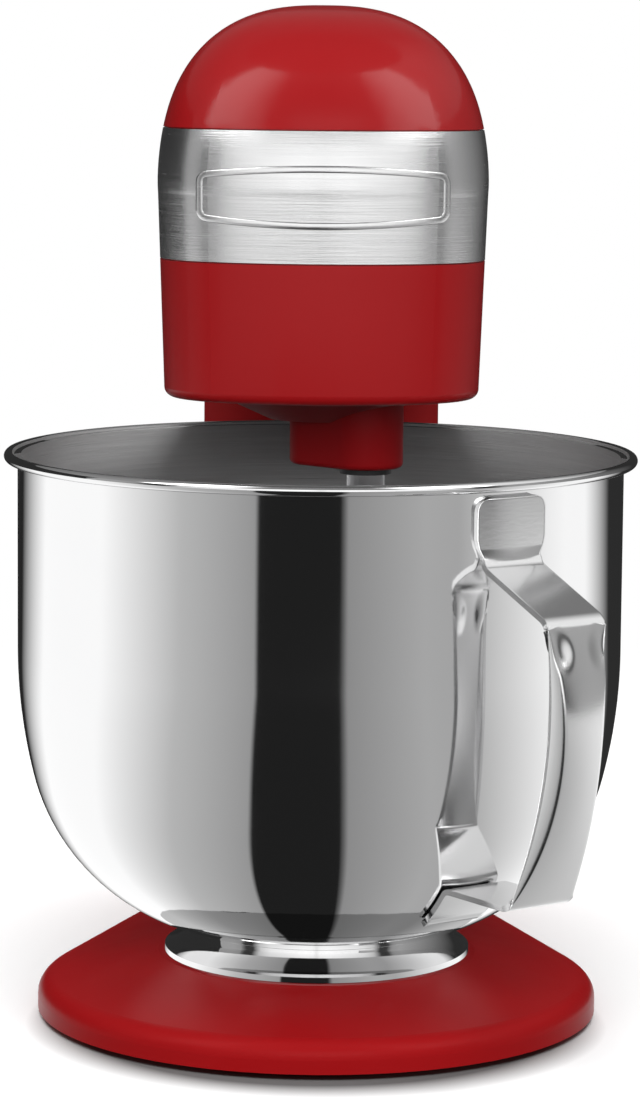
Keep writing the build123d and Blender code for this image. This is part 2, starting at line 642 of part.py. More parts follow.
def handle_loop(depth):
    """Side view of the handle: the space inside a line that lies depth inside its outer face."""
    inside = BOWL_RADIUS / 2
    outline = [Line((inside, TAB_LOW), (BOWL_RADIUS + WELD, TAB_LOW)),
               Line((BOWL_RADIUS + WELD, TAB_LOW), GRIP_TOP),
               ThreePointArc(GRIP_TOP, GRIP_MIDDLE, GRIP_LOW),
               Line(GRIP_LOW, (inside, GRIP_LOW[1])), Line((inside, GRIP_LOW[1]), (inside, TAB_LOW))]
    face = make_face(outline)
    bends = [corner for corner in face.vertices() if corner.X > BOWL_RADIUS + GRIP_BEND]
    face = fillet(bends, GRIP_BEND)
    return offset(face, amount=-depth, kind=Kind.INTERSECTION) if depth else face


def across(face, width):
    """Extrude a side view of the handle to both sides of its middle plane."""
    return extrude(Plane.XZ * face, amount=width / 2, both=True)


def bowl_handle():
    """Stamped strap handle: two tabs on the bowl, two arms and a channel-shaped grip."""
    strap = across(handle_loop(0) - handle_loop(STRAP), TAB_WIDTH)
    grip_low = GRIP_LOW[1] + 2 * GRIP_BEND
    grip_high = GRIP_TOP[1] - GRIP_BEND
    band = block(BOWL_RADIUS, 2 * BOWL_RADIUS, -TAB_WIDTH, TAB_WIDTH, grip_low, grip_high)
    cheeks = across(handle_loop(STRAP / 2) - handle_loop(CHANNEL_DEPTH), GRIP_WIDTH)
    cheeks -= across(handle_loop(0) - handle_loop(2 * CHANNEL_DEPTH), GRIP_WIDTH - 2 * CHANNEL_EDGE)
    top_half = TAB_WIDTH / 2
    grip_half = GRIP_WIDTH / 2
    low_half = GRIP_LOW_WIDTH / 2
    plan = make_face(Polyline((-top_half, TAB_TOP), (top_half, TAB_TOP), (top_half, TAB_LOW),
                              (grip_half, GRIP_TOP[1]), (low_half, GRIP_LOW[1]), (grip_half, LOWER_TAB_LOW),
                              (-grip_half, LOWER_TAB_LOW), (-low_half, GRIP_LOW[1]),
                              (-grip_half, GRIP_TOP[1]), (-top_half, TAB_LOW), close=True))
    plan = fillet(plan.vertices().group_by(Axis.Y)[-1], TAB_CORNER)
    front = extrude(Plane.YZ * plan, amount=2 * BOWL_RADIUS)
    skin = bowl_form(-WELD - STRAP, RIM_TOP) - bowl_form(-WELD, RIM_TOP)
    tabs = skin - block(0, RIM_RADIUS, -TAB_WIDTH, TAB_WIDTH, GRIP_LOW[1] + STRAP, TAB_LOW)
    body = ((strap + tabs) & front) + (cheeks & band)
    body -= bowl_form(-WELD, RIM_TOP)
    return Rot(0, 0, HANDLE_TURN) * body


# Head

def head_end(half_width, length, scale):
    """Points of one rounded end of the head, on its +X side: side, corner, front and their arcs."""
    front = NOSE_RADIUS * scale
    corner = NOSE_CORNER * scale
    front_centre = length - front
    corner_x = half_width - corner
    corner_y = front_centre + sqrt((front - corner) ** 2 - corner_x ** 2)
    share = front / (front - corner)
    touch = (corner_x * share, front_centre + (corner_y - front_centre) * share)
    return {"side": (half_width, corner_y), "touch": touch, "tip": (0.0, length),
            "corner": (corner_x, corner_y), "radius": corner}


def head_outline(half_width, z):
    """Plan of the head at a height: straight sides, a blunt nose and a blunt back."""
    scale = half_width / HEAD_HALF_WIDTH
    nose = head_end(half_width, HEAD_FRONT * scale, scale)
    back = head_end(half_width, HEAD_BACK * scale, scale)

    def at_nose(point, sign=1):
        return (sign * point[0], -point[1])

    def at_back(point, sign=1):
        return (sign * point[0], HEAD_BACK_AXIS + point[1])

    edges = [ThreePointArc(at_nose(nose["touch"], -1), at_nose(nose["tip"]), at_nose(nose["touch"])),
             ThreePointArc(at_back(back["touch"]), at_back(back["tip"]), at_back(back["touch"], -1))]
    for sign in (1, -1):
        edges.append(arc_between(at_nose(nose["corner"], sign), nose["radius"],
                                 at_nose(nose["touch"], sign), at_nose(nose["side"], sign)))
        edges.append(Line(at_nose(nose["side"], sign), at_back(back["side"], sign)))
        edges.append(arc_between(at_back(back["corner"], sign), back["radius"],
                                 at_back(back["side"], sign), at_back(back["touch"], sign)))
    return Pos(0, 0, z) * make_face(edges)


def half_width_at(z, inset=0.0):
    """Half width of the lower part of the head at a height."""
    share = (z - HEAD_UNDERSIDE) / (HEAD_SPLIT - HEAD_UNDERSIDE)
    return HEAD_HALF_WIDTH_LOW + (HEAD_HALF_WIDTH - HEAD_HALF_WIDTH_LOW) * share - inset


def lower_form(inset, low):
    """Lower part of the head, from a height up to the split."""
    return loft([head_outline(half_width_at(low, inset), low),
                 head_outline(half_width_at(HEAD_SPLIT, inset), HEAD_SPLIT)], ruled=True)


def upper_form(inset):
    """Dome of the head above the split."""
    height = HEAD_TOP - HEAD_SPLIT - inset
    width = HEAD_HALF_WIDTH - inset
    power = 2 / DOME_POWER
    sections = []
    for angle in DOME_ANGLES:
        turn = radians(angle)
        sections.append(head_outline(width * cos(turn) ** power, HEAD_SPLIT + height * sin(turn) ** power))
    return loft(sections)


def plate_window(margin):
    """Everything in front of the plate's ends and between its edges, widened by the margin."""
    low = PLATE_LOW - margin
    high = PLATE_HIGH + margin
    front = -2 * HEAD_FRONT
    back = PLATE_END + margin
    window = RectangleRounded(back - front, high - low, PLATE_CORNER + margin)
    window = Plane.YZ * (Pos((front + back) / 2, (low + high) / 2) * window)
    return extrude(window, amount=2 * HEAD_HALF_WIDTH, both=True)


def shell_boss_places():
    """Centres of the bosses that join the two head shells."""
    x = HEAD_HALF_WIDTH - HEAD_WALL - BOSS_RADIUS + SHELL_BOSS_SINK
    return [(sign * x, y) for y in SHELL_BOSS_YS for sign in (1, -1)]


def head_lower_housing():
    """Lower head shell with the gearbox floor, the hinge lug and the socket of the lock pin."""
    outer = lower_form(0, HEAD_UNDERSIDE)
    rim = [edge for edge in outer.edges() if abs(edge.center().Z - HEAD_UNDERSIDE) < 0.01]
    outer = fillet(rim, HEAD_EDGE)
    body = outer - lower_form(HEAD_WALL, FLOOR_TOP)
    body -= plate_window(PLATE_LINE) - lower_form(PLATE_THICKNESS + PLATE_BACKING, HEAD_UNDERSIDE)
    inside = lower_form(HEAD_WALL / 2, HEAD_UNDERSIDE)
    for x, y in shell_boss_places():
        body += rod(BOSS_RADIUS, HEAD_SPLIT - SHELL_BOSS_HEIGHT, HEAD_SPLIT, x, y) & inside
        body -= rod(SCREW_RADIUS + RUNNING, FLOOR_TOP, HEAD_TOP, x, y)
    body -= rod(CARRIER_RADIUS + CARRIER_GAP, HEAD_UNDERSIDE - OVERLAP, FLOOR_TOP + OVERLAP)
    lug = cross_rod(LUG_RADIUS, -LUG_HALF_WIDTH, LUG_HALF_WIDTH, HINGE_Y, HINGE_Z)
    lug += block(-LUG_HALF_WIDTH, LUG_HALF_WIDTH, HINGE_Y - LUG_RADIUS, HINGE_Y + LUG_RADIUS,
                 HINGE_Z, FLOOR_TOP)
    body += lug
    body -= cross_rod(HINGE_PIN_RADIUS + RUNNING, -COLUMN_WIDTH, COLUMN_WIDTH, HINGE_Y, HINGE_Z)
    for x, y in ring_screw_places():
        body -= rod(SCREW_RADIUS + RUNNING, HEAD_UNDERSIDE + SCREW_TIP_GAP, FLOOR_TOP + OVERLAP, x, y)
    body -= rod(LOCK_PIN_RADIUS + LOCK_PLAY, HEAD_UNDERSIDE - OVERLAP, FLOOR_TOP + OVERLAP, 0, LOCK_Y)
    body -= cross_rod(SPINDLE_RADIUS + RUNNING, 0, 2 * HEAD_HALF_WIDTH, DIAL_Y, DIAL_Z)
    return body


def head_upper_cover():
    """Upper head shell."""
    body = upper_form(0) - upper_form(HEAD_WALL)
    body -= plate_window(PLATE_LINE) - upper_form(PLATE_THICKNESS + PLATE_BACKING)
    inside = upper_form(HEAD_WALL / 2)
    for x, y in shell_boss_places():
        boss = rod(BOSS_RADIUS, HEAD_SPLIT, HEAD_SPLIT + SHELL_BOSS_HEIGHT, x, y) & inside
        body += boss - rod(SCREW_RADIUS + RUNNING, HEAD_SPLIT - OVERLAP, HEAD_SPLIT + SHELL_BOSS_HEIGHT, x, y)
    return body


def front_plate():
    """Brushed metal plate that wraps the nose, let into both head shells."""
    skin = (lower_form(0, HEAD_UNDERSIDE) + upper_form(0))
    skin -= lower_form(PLATE_THICKNESS, HEAD_UNDERSIDE) + upper_form(PLATE_THICKNESS)
    return skin & plate_window(0)


def shell_screws():
    """Screws that join the two head shells."""
    low = HEAD_SPLIT - SHELL_BOSS_HEIGHT
    return group([screw(x, y, low - SCREW_HEAD_HEIGHT, low, HEAD_SPLIT + SHELL_BOSS_HEIGHT - SCREW_TIP_GAP)
                  for x, y in shell_boss_places()])


# Planetary drive

def at_beater(shape):
    """Move a shape from the bowl axis to the beater shaft."""
    return Rot(0, 0, SHAFT_TURN) * Pos(PLANET_OFFSET, 0, 0) * shape


def ring_radius():
    """Outside of the fixed ring gear."""
    return MODULE * RING_TEETH / 2 + RING_WALL


def ring_gear():
    """Fixed internal gear on the floor of the head."""
    pitch_radius = MODULE * RING_TEETH / 2
    space = gear_outline(RING_TEETH, pitch_radius + RING_ROOT * MODULE, pitch_radius - RING_TIP * MODULE,
                         1 - TOOTH_SHARE)
    hole = extrude(Pos(0, 0, FLOOR_TOP - OVERLAP) * Rot(0, 0, SHAFT_TURN) * space,
                   amount=RING_TOP - FLOOR_TOP + 2 * OVERLAP)
    body = rod(ring_radius() + 2 * SCREW_HEAD_RADIUS, FLOOR_TOP, FLOOR_TOP + 2 * SCREW_RADIUS)
    body += rod(ring_radius(), FLOOR_TOP, RING_TOP)
    for x, y in ring_screw_places():
        body -= rod(SCREW_RADIUS + RUNNING, FLOOR_TOP - OVERLAP, FLOOR_TOP + OVERLAP + 2 * SCREW_RADIUS, x, y)
    return body - hole


def ring_screw_places():
    """Centres of the ring gear's screws."""
    reach = ring_radius() + SCREW_HEAD_RADIUS
    return [(reach * cos(radians(angle)), reach * sin(radians(angle))) for angle in (90, 180, 270, 360)]


def ring_screws():
    """Screws of the ring gear, tapped into the floor of the head."""
    low = FLOOR_TOP + 2 * SCREW_RADIUS
    return group([screw(x, y, low, low + SCREW_HEAD_HEIGHT, HEAD_UNDERSIDE + SCREW_TIP_GAP)
                  for x, y in ring_screw_places()])


def planetary_carrier():
    """Turning carrier under the head: rim, shallow dish and the housing of the beater shaft."""
    rim_low = HEAD_UNDERSIDE - CARRIER_RIM
    dish_low = rim_low - CARRIER_DISH
    body = turned(((0, CARRIER_TOP), (CARRIER_RADIUS, CARRIER_TOP), (CARRIER_RADIUS, rim_low),
                   (CARRIER_DISH_RADIUS, dish_low), (0, dish_low)))
    hub = Circle(HUB_RADIUS)
    shaft_end = Rot(0, 0, SHAFT_TURN) * Pos(PLANET_OFFSET, 0) * Circle(SHAFT_HOUSING)
    housing = make_hull((hub + shaft_end).edges())
    housing = extrude(Pos(0, 0, CARRIER_BASE) * housing, amount=rim_low + OVERLAP - CARRIER_BASE)
    body += fillet(housing.edges().group_by(Axis.Z)[0], BUSH_WALL)
    body -= rod(MAIN_SHAFT_RADIUS + SEATED, rim_low, CARRIER_TOP + OVERLAP)
    body -= at_beater(rod(BEATER_RADIUS + BUSH_WALL + SEATED, CARRIER_BASE - OVERLAP, CARRIER_TOP + OVERLAP))
    return body


def beater_bush(low):
    """Plain bush of the beater shaft in the carrier."""
    return at_beater(tube(BEATER_RADIUS + BUSH_WALL, BEATER_RADIUS + RUNNING, low, low + BUSH_LENGTH))


def shaft_collar():
    """Black ring under the carrier, round the beater shaft."""
    ring = tube(COLLAR_RADIUS, BEATER_RADIUS + LOOSE, CARRIER_BASE - COLLAR_HEIGHT, CARRIER_BASE)
    return at_beater(ring)


def beater_pin_height():
    """Height of the cross pin."""
    return BEATER_END + BEATER_TIP + 2 * BEATER_PIN_RADIUS


def beater_shaft():
    """Shaft that the beaters hook on to."""
    step = BEATER_END + BEATER_TIP
    tip = rod(BEATER_TIP_RADIUS, BEATER_END, step)
    tip = chamfer(tip.edges().group_by(Axis.Z)[0], BEATER_TIP_RADIUS / 6)
    body = tip + rod(BEATER_RADIUS, step, RING_TOP)
    pin_z = beater_pin_height()
    body -= cross_rod(BEATER_PIN_RADIUS + SEATED, -BEATER_PIN_LENGTH, BEATER_PIN_LENGTH, 0, pin_z)
    return at_beater(body)


def beater_pin():
    """Cross pin that turns the beaters."""
    half = BEATER_PIN_LENGTH / 2
    return at_beater(cross_rod(BEATER_PIN_RADIUS, -half, half, 0, beater_pin_height()))


def beater_pinion():
    """Pinion that rolls inside the ring gear."""
    return at_beater(spur_gear(BEATER_TEETH, BEATER_RADIUS + SEATED, FLOOR_TOP + LOOSE, GEAR_WIDTH))


def main_shaft():
    """Shaft that turns the carrier."""
    return rod(MAIN_SHAFT_RADIUS, HEAD_UNDERSIDE - CARRIER_RIM, GEARBOX_TOP + BUSH_WALL)


def main_gear():
    """Large gear on the main shaft; a tooth points at the layshaft."""
    return spur_gear(MAIN_TEETH, MAIN_SHAFT_RADIUS + SEATED, GEAR_Z, GEAR_WIDTH, 90)


# Gearbox and layshaft

def bearing(shaft_radius, low, x=0.0, y=0.0):
    """Ball bearing, as its rings and the space between them."""
    return tube(shaft_radius + BEARING_WALL, shaft_radius + RUNNING, low, low + BEARING_WIDTH, x, y)


def pillar_places():
    """Centres of the gearbox pillars."""
    return [(sign * x, y) for x, y in PILLAR_PLACES for sign in (1, -1)]


def gearbox_plate(low):
    """Plate that holds a bearing of the main shaft and one of the layshaft."""
    discs = [Pos(x, y) * Circle(PILLAR_RADIUS + PILLAR_MARGIN / 2) for x, y in pillar_places()]
    outline = make_hull([edge for disc in discs for edge in disc.edges()])
    plate = extrude(Pos(0, 0, low) * outline, amount=BEARING_WIDTH)
    plate -= rod(MAIN_SHAFT_RADIUS + BEARING_WALL + SEATED, low - OVERLAP, low + BEARING_WIDTH + OVERLAP)
    plate -= rod(LAYSHAFT_RADIUS + BEARING_WALL + SEATED, low - OVERLAP, low + BEARING_WIDTH + OVERLAP,
                 0, LAYSHAFT_Y)
    return plate


def gearbox_pillars():
    """Spacers from the floor to the lower plate and from there to the upper plate."""
    levels = ((FLOOR_TOP, LOWER_PLATE_Z), (LOWER_PLATE_Z + BEARING_WIDTH, UPPER_PLATE_Z))
    return group([rod(PILLAR_RADIUS, low, high, x, y) for low, high in levels for x, y in pillar_places()])


def layshaft():
    """Shaft between the belt and the main gear."""
    return rod(LAYSHAFT_RADIUS, LOWER_PLATE_Z - BUSH_WALL, PULLEY_Z + PULLEY_WIDTH, 0, LAYSHAFT_Y)


def lay_pinion():
    """Pinion of the layshaft; a space faces the main gear's tooth."""
    return Pos(0, LAYSHAFT_Y, 0) * spur_gear(LAY_TEETH, LAYSHAFT_RADIUS + SEATED, GEAR_Z, GEAR_WIDTH, 90)


def pulley(radius, bore, y):
    """Belt pulley with two flanges."""
    flange = (PULLEY_WIDTH - BELT_WIDTH) / 2 - LOOSE / 2
    body = rod(radius, PULLEY_Z, PULLEY_Z + PULLEY_WIDTH, 0, y)
    for low in (PULLEY_Z, PULLEY_Z + PULLEY_WIDTH - flange):
        body += rod(radius + BELT_THICKNESS, low, low + flange, 0, y)
    return body - rod(bore + SEATED, PULLEY_Z - OVERLAP, PULLEY_Z + PULLEY_WIDTH + OVERLAP, 0, y)


def belt_loop(gap):
    """Line that lies a gap outside both pulleys, filled."""
    wheels = Pos(0, LAYSHAFT_Y) * Circle(DRIVEN_PULLEY + gap)
    wheels += Pos(0, MOTOR_Y) * Circle(MOTOR_PULLEY + gap)
    return make_hull(wheels.edges())


def drive_belt():
    """Belt from the motor to the layshaft."""
    loop = belt_loop(LOOSE + BELT_THICKNESS) - belt_loop(LOOSE)
    low = PULLEY_Z + (PULLEY_WIDTH - BELT_WIDTH) / 2
    return extrude(Pos(0, 0, low) * loop, amount=BELT_WIDTH)


# Motor

def motor_corners():
    """Centres of the motor's four posts."""
    reach = STATOR_SIDE / 2 - PILLAR_RADIUS
    return [(x * reach, MOTOR_Y + y * reach) for x in (1, -1) for y in (1, -1)]


def motor_stator():
    """Laminated stack round the rotor."""
    stack = extrude(Pos(0, MOTOR_Y, STATOR_Z) * RectangleRounded(STATOR_SIDE, STATOR_SIDE, PILLAR_RADIUS),
                    amount=STATOR_HEIGHT)
    return stack - rod(ROTOR_RADIUS + AIR_GAP, STATOR_Z - OVERLAP, STATOR_TOP + OVERLAP, 0, MOTOR_Y)


def motor_plate(low):
    """Square end plate of the motor with the seat of a bearing."""
    plan = RectangleRounded(STATOR_SIDE, STATOR_SIDE, PILLAR_RADIUS)
    plate = extrude(Pos(0, MOTOR_Y, low) * plan, amount=MOTOR_PLATE)
    seat = MOTOR_SHAFT_RADIUS + MOTOR_BEARING_WALL + SEATED
    return plate - rod(seat, low - OVERLAP, low + MOTOR_PLATE + OVERLAP, 0, MOTOR_Y)


def motor_bracket_lower():
    """Lower end plate with its posts to the floor and to the stator."""
    body = motor_plate(MOTOR_PLATE_Z)
    body += [rod(PILLAR_RADIUS, FLOOR_TOP, STATOR_Z, x, y) for x, y in motor_corners()]
    return body


def motor_bracket_upper():
    """Upper end plate with its posts to the stator."""
    body = motor_plate(UPPER_MOTOR_PLATE_Z)
    body += [rod(PILLAR_RADIUS, STATOR_TOP, UPPER_MOTOR_PLATE_Z + OVERLAP, x, y) for x, y in motor_corners()]
    return body


def motor_bearing(low):
    """Plain bearing of the motor shaft."""
    return tube(MOTOR_SHAFT_RADIUS + MOTOR_BEARING_WALL, MOTOR_SHAFT_RADIUS + RUNNING,
                low, low + MOTOR_PLATE, 0, MOTOR_Y)


def commutator_low():
    """Lower end of the commutator."""
    return MOTOR_PLATE_Z + MOTOR_PLATE + 2 * LOOSE


def brush_holders():
    """Two brush holders on the lower end plate."""
    low = MOTOR_PLATE_Z + MOTOR_PLATE
    start = COMMUTATOR_RADIUS + LOOSE
    holders = []
    for sign in (1, -1):
        ends = sorted((sign * start, sign * (start + BRUSH_LENGTH)))
        holders.append(block(ends[0], ends[1], MOTOR_Y - MOTOR_SHAFT_RADIUS, MOTOR_Y + MOTOR_SHAFT_RADIUS,
                             low, low + COMMUTATOR_LENGTH))
    return group(holders)


def motor_shaft():
    """Motor shaft from its lower bearing to the fan."""
    return rod(MOTOR_SHAFT_RADIUS, MOTOR_PLATE_Z - LOOSE, FAN_Z + FAN_HEIGHT, 0, MOTOR_Y)


def rotor_core():
    """Laminated core of the rotor."""
    return tube(ROTOR_RADIUS, MOTOR_SHAFT_RADIUS + SEATED, STATOR_Z, STATOR_TOP, 0, MOTOR_Y)


def commutator():
    """Copper commutator under the rotor core."""
    low = commutator_low()
    return tube(COMMUTATOR_RADIUS, MOTOR_SHAFT_RADIUS + SEATED, low, low + COMMUTATOR_LENGTH, 0, MOTOR_Y)


def cooling_fan():
    """Radial fan on top of the motor shaft."""
    disc = rod(FAN_RADIUS, FAN_Z, FAN_Z + BLADE_THICKNESS)
    disc += rod(2 * MOTOR_SHAFT_RADIUS, FAN_Z, FAN_Z + FAN_HEIGHT)
    blade = block(1.5 * MOTOR_SHAFT_RADIUS, FAN_RADIUS, -BLADE_THICKNESS / 2, BLADE_THICKNESS / 2,
                  FAN_Z, FAN_Z + FAN_HEIGHT)
    disc += [Rot(0, 0, 360 * index / FAN_BLADES) * blade for index in range(FAN_BLADES)]
    disc -= rod(MOTOR_SHAFT_RADIUS + SEATED, FAN_Z - OVERLAP, FAN_Z + FAN_HEIGHT + OVERLAP)
    return Pos(0, MOTOR_Y, 0) * disc


# Speed control

def dial_face():
    """Side of the head where the dial sits."""
    return half_width_at(DIAL_Z)


def speed_dial():
    """Round dial with a grip bar, on the side of the head."""
    start = dial_face() + 2 * LOOSE
    disc = extrude(Circle(DIAL_RADIUS), amount=DIAL_THICKNESS / 2)
    disc = fillet(disc.edges().group_by(Axis.Z)[-1], DIAL_THICKNESS / 6)
    bar = extrude(SlotOverall(2 * DIAL_RADIUS - DIAL_THICKNESS, DIAL_GRIP), amount=DIAL_THICKNESS)
    disc += fillet(bar.edges().group_by(Axis.Z)[-1], DIAL_THICKNESS / 6)
    disc -= Pos(0, 0, -OVERLAP) * Cylinder(SPINDLE_RADIUS + SEATED, OVERLAP + DIAL_THICKNESS * 2 / 3,
                                           align=UPRIGHT)
    return Pos(start, DIAL_Y, DIAL_Z) * (Plane.YZ * disc)


def dial_spindle():
    """Spindle from the dial into the speed switch."""
    outer = dial_face() + 2 * LOOSE + DIAL_THICKNESS / 2
    return cross_rod(SPINDLE_RADIUS, switch_wall() - SWITCH_DEPTH / 2, outer, DIAL_Y, DIAL_Z)


def switch_wall():
    """Inner face of the housing where the speed switch sits."""
    return half_width_at(DIAL_Z - SWITCH_SIDE / 2, HEAD_WALL) - LOOSE


def speed_switch():
    """Rotary speed switch inside the head."""
    half = SWITCH_SIDE / 2
    body = block(switch_wall() - SWITCH_DEPTH, switch_wall(), DIAL_Y - half, DIAL_Y + half,
                 DIAL_Z - half, HEAD_SPLIT - LOOSE)
    return body - cross_rod(SPINDLE_RADIUS + RUNNING, switch_wall() - SWITCH_DEPTH / 2,
                            HEAD_HALF_WIDTH, DIAL_Y, DIAL_Z)


def control_board():
    """Circuit board on legs above the lock socket, behind the motor."""
    y_low = MOTOR_Y + STATOR_SIDE / 2 + BOARD_LEG
    low = FLOOR_TOP + 2 * BOARD_LEG
    half = BOARD_LENGTH / 2
    board = block(-half, half, y_low, y_low + BOARD_WIDTH, low, low + BOARD_THICKNESS)
    for x in (-half + BOARD_LEG, half - BOARD_LEG):
        for y in (y_low + BOARD_LEG, y_low + BOARD_WIDTH - BOARD_LEG):
            board += rod(BOARD_LEG / 2, FLOOR_TOP, low + BOARD_THICKNESS / 2, x, y)
    chip = block(-half / 2, half / 2, y_low + BOARD_LEG, y_low + BOARD_WIDTH / 2,
                 low + BOARD_THICKNESS / 2, low + 2 * BOARD_LEG)
    return board + chip


def all_pieces():
    """Every piece of the mixer by its node name, round the bowl axis."""
    casting = pedestal()
    pieces = {"pedestal": casting, "base_cover": base_cover(), "cover_screws": cover_screws()}
    for number, (x, y) in enumerate(RUBBER_PLACES, start=1):
        pieces[f"rubber_foot_{number}"] = rubber_foot(x, y)
    pieces.update({
        "bowl_clamp": bowl_clamp(), "clamp_screws": clamp_screws(), "hinge_pin": hinge_pin(),
        "cord_grommet": cord_grommet(casting), "lock_pin": lock_pin(), "lock_spring": lock_spring(),
        "lock_bracket": lock_bracket(), "release_lever": release_lever(),
        "bowl": bowl(), "bowl_foot": bowl_foot(), "bowl_handle": bowl_handle(),
        "head_lower_housing": head_lower_housing(), "head_upper_cover": head_upper_cover(),
        "front_plate": front_plate(), "shell_screws": shell_screws(),
        "ring_gear": ring_gear(), "ring_screws": ring_screws(),
        "planetary_carrier": planetary_carrier(), "shaft_collar": shaft_collar(),
        "beater_bush_lower": beater_bush(CARRIER_BASE),
        "beater_bush_upper": beater_bush(CARRIER_TOP - BUSH_LENGTH),
        "beater_shaft": beater_shaft(), "beater_pin": beater_pin(), "beater_pinion": beater_pinion(),
        "main_shaft": main_shaft(), "main_gear": main_gear(),
        "gearbox_plate_lower": gearbox_plate(LOWER_PLATE_Z),
        "gearbox_plate_upper": gearbox_plate(UPPER_PLATE_Z), "gearbox_pillars": gearbox_pillars(),
        "main_bearing_lower": bearing(MAIN_SHAFT_RADIUS, LOWER_PLATE_Z),
        "main_bearing_upper": bearing(MAIN_SHAFT_RADIUS, UPPER_PLATE_Z),
        "lay_bearing_lower": bearing(LAYSHAFT_RADIUS, LOWER_PLATE_Z, 0, LAYSHAFT_Y),
        "lay_bearing_upper": bearing(LAYSHAFT_RADIUS, UPPER_PLATE_Z, 0, LAYSHAFT_Y),
        "layshaft": layshaft(), "lay_pinion": lay_pinion(),
        "driven_pulley": pulley(DRIVEN_PULLEY, LAYSHAFT_RADIUS, LAYSHAFT_Y),
        "motor_pulley": pulley(MOTOR_PULLEY, MOTOR_SHAFT_RADIUS, MOTOR_Y), "drive_belt": drive_belt(),
        "motor_stator": motor_stator(), "motor_bracket_lower": motor_bracket_lower(),
        "motor_bracket_upper": motor_bracket_upper(),
        "motor_bearing_lower": motor_bearing(MOTOR_PLATE_Z),
        "motor_bearing_upper": motor_bearing(UPPER_MOTOR_PLATE_Z), "brush_holders": brush_holders(),
        "motor_shaft": motor_shaft(), "rotor_core": rotor_core(), "commutator": commutator(),
        "cooling_fan": cooling_fan(), "speed_dial": speed_dial(), "dial_spindle": dial_spindle(),
        "speed_switch": speed_switch(), "control_board": control_board(),
    })
    return pieces


def middle_y(pieces):
    """Middle of the mixer's depth, measured on its foremost and rearmost pieces."""
    ends = ("bowl", "bowl_handle", "pedestal", "head_lower_housing")
    outer = [pieces[name].bounding_box() for name in ends]
    return (min(box.min.Y for box in outer) + max(box.max.Y for box in outer)) / 2


def main():
    os.makedirs("parts", exist_ok=True)
    pieces = all_pieces()
    shift = Pos(0, -middle_y(pieces), 0)
    for name, shape in pieces.items():
        export_step(shift * shape, f"parts/{name}.step")
    print("bowl axis at y", round(-middle_y(pieces), 4), "pieces", len(pieces))


main()
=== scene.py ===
import json
from math import asin, cos, pi, radians, sin, sqrt

import bmesh
import bpy
from mathutils import Matrix, Vector


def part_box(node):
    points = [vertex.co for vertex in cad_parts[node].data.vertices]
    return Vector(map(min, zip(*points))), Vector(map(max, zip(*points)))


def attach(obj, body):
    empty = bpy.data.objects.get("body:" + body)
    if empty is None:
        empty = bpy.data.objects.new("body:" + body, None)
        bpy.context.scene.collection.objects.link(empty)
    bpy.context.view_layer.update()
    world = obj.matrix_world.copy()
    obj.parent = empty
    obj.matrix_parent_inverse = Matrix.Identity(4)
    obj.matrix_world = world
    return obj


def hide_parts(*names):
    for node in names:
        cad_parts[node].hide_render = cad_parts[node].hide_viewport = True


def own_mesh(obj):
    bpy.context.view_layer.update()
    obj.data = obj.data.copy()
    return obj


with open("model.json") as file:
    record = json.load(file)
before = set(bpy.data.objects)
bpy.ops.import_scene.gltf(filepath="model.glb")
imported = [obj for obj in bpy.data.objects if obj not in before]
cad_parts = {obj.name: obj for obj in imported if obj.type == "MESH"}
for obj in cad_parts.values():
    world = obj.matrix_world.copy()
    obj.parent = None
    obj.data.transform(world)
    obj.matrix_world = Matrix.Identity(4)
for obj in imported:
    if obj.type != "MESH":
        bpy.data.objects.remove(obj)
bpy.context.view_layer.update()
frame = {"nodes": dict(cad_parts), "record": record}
nodes = frame["nodes"]

# Places read from the frame, in metres.
foot_low, foot_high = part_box("bowl_foot")
BOWL_AXIS_Y = (foot_low.y + foot_high.y) / 2

# Camera, set up as the mixer was photographed: from straight in front, a little above the head's split.
CAMERA_LENS = 127.7
CAMERA_TILT = radians(7.48)
CAMERA_ROLL = radians(0.5)
CAMERA_DISTANCE = 1.405
CAMERA_HEIGHT = 0.353
CAMERA_SIDE = 0.0


def place_camera():
    data = bpy.data.cameras.new("camera")
    data.lens = CAMERA_LENS
    data.clip_start = 0.05
    camera = bpy.data.objects.new("camera", data)
    bpy.context.scene.collection.objects.link(camera)
    aim = Matrix.Rotation(pi / 2 - CAMERA_TILT, 4, "X") @ Matrix.Rotation(CAMERA_ROLL, 4, "Z")
    spot = Matrix.Translation((CAMERA_SIDE, BOWL_AXIS_Y - CAMERA_DISTANCE, CAMERA_HEIGHT))
    camera.matrix_world = spot @ aim
    bpy.context.scene.camera = camera


# Shader helpers.
def add_node(tree, kind, **settings):
    node = tree.nodes.new(kind)
    for name, value in settings.items():
        setattr(node, name, value)
    return node


def set_inputs(node, **values):
    for name, value in values.items():
        node.inputs[name.replace("_", " ")].default_value = value


def new_group(name, inputs, outputs):
    tree = bpy.data.node_groups.new(name, "ShaderNodeTree")
    for socket, kind, value in inputs:
        made = tree.interface.new_socket(socket, in_out="INPUT", socket_type=kind)
        made.default_value = value
    for socket, kind in outputs:
        tree.interface.new_socket(socket, in_out="OUTPUT", socket_type=kind)
    return tree, add_node(tree, "NodeGroupInput"), add_node(tree, "NodeGroupOutput")


def new_material(name, metallic, coat=0.0, coat_roughness=0.05, specular=0.5):
    material = bpy.data.materials.new(name)
    material.use_nodes = True
    tree = material.node_tree
    shader = tree.nodes["Principled BSDF"]
    set_inputs(shader, Metallic=metallic, Coat_Weight=coat, Coat_Roughness=coat_roughness)
    set_inputs(shader, Specular_IOR_Level=specular)
    return material, tree, shader


# Sockets of a Mix node that mixes colours.
MIX_FACTOR = 0
MIX_FIRST = 6
MIX_SECOND = 7
MIX_RESULT = 2


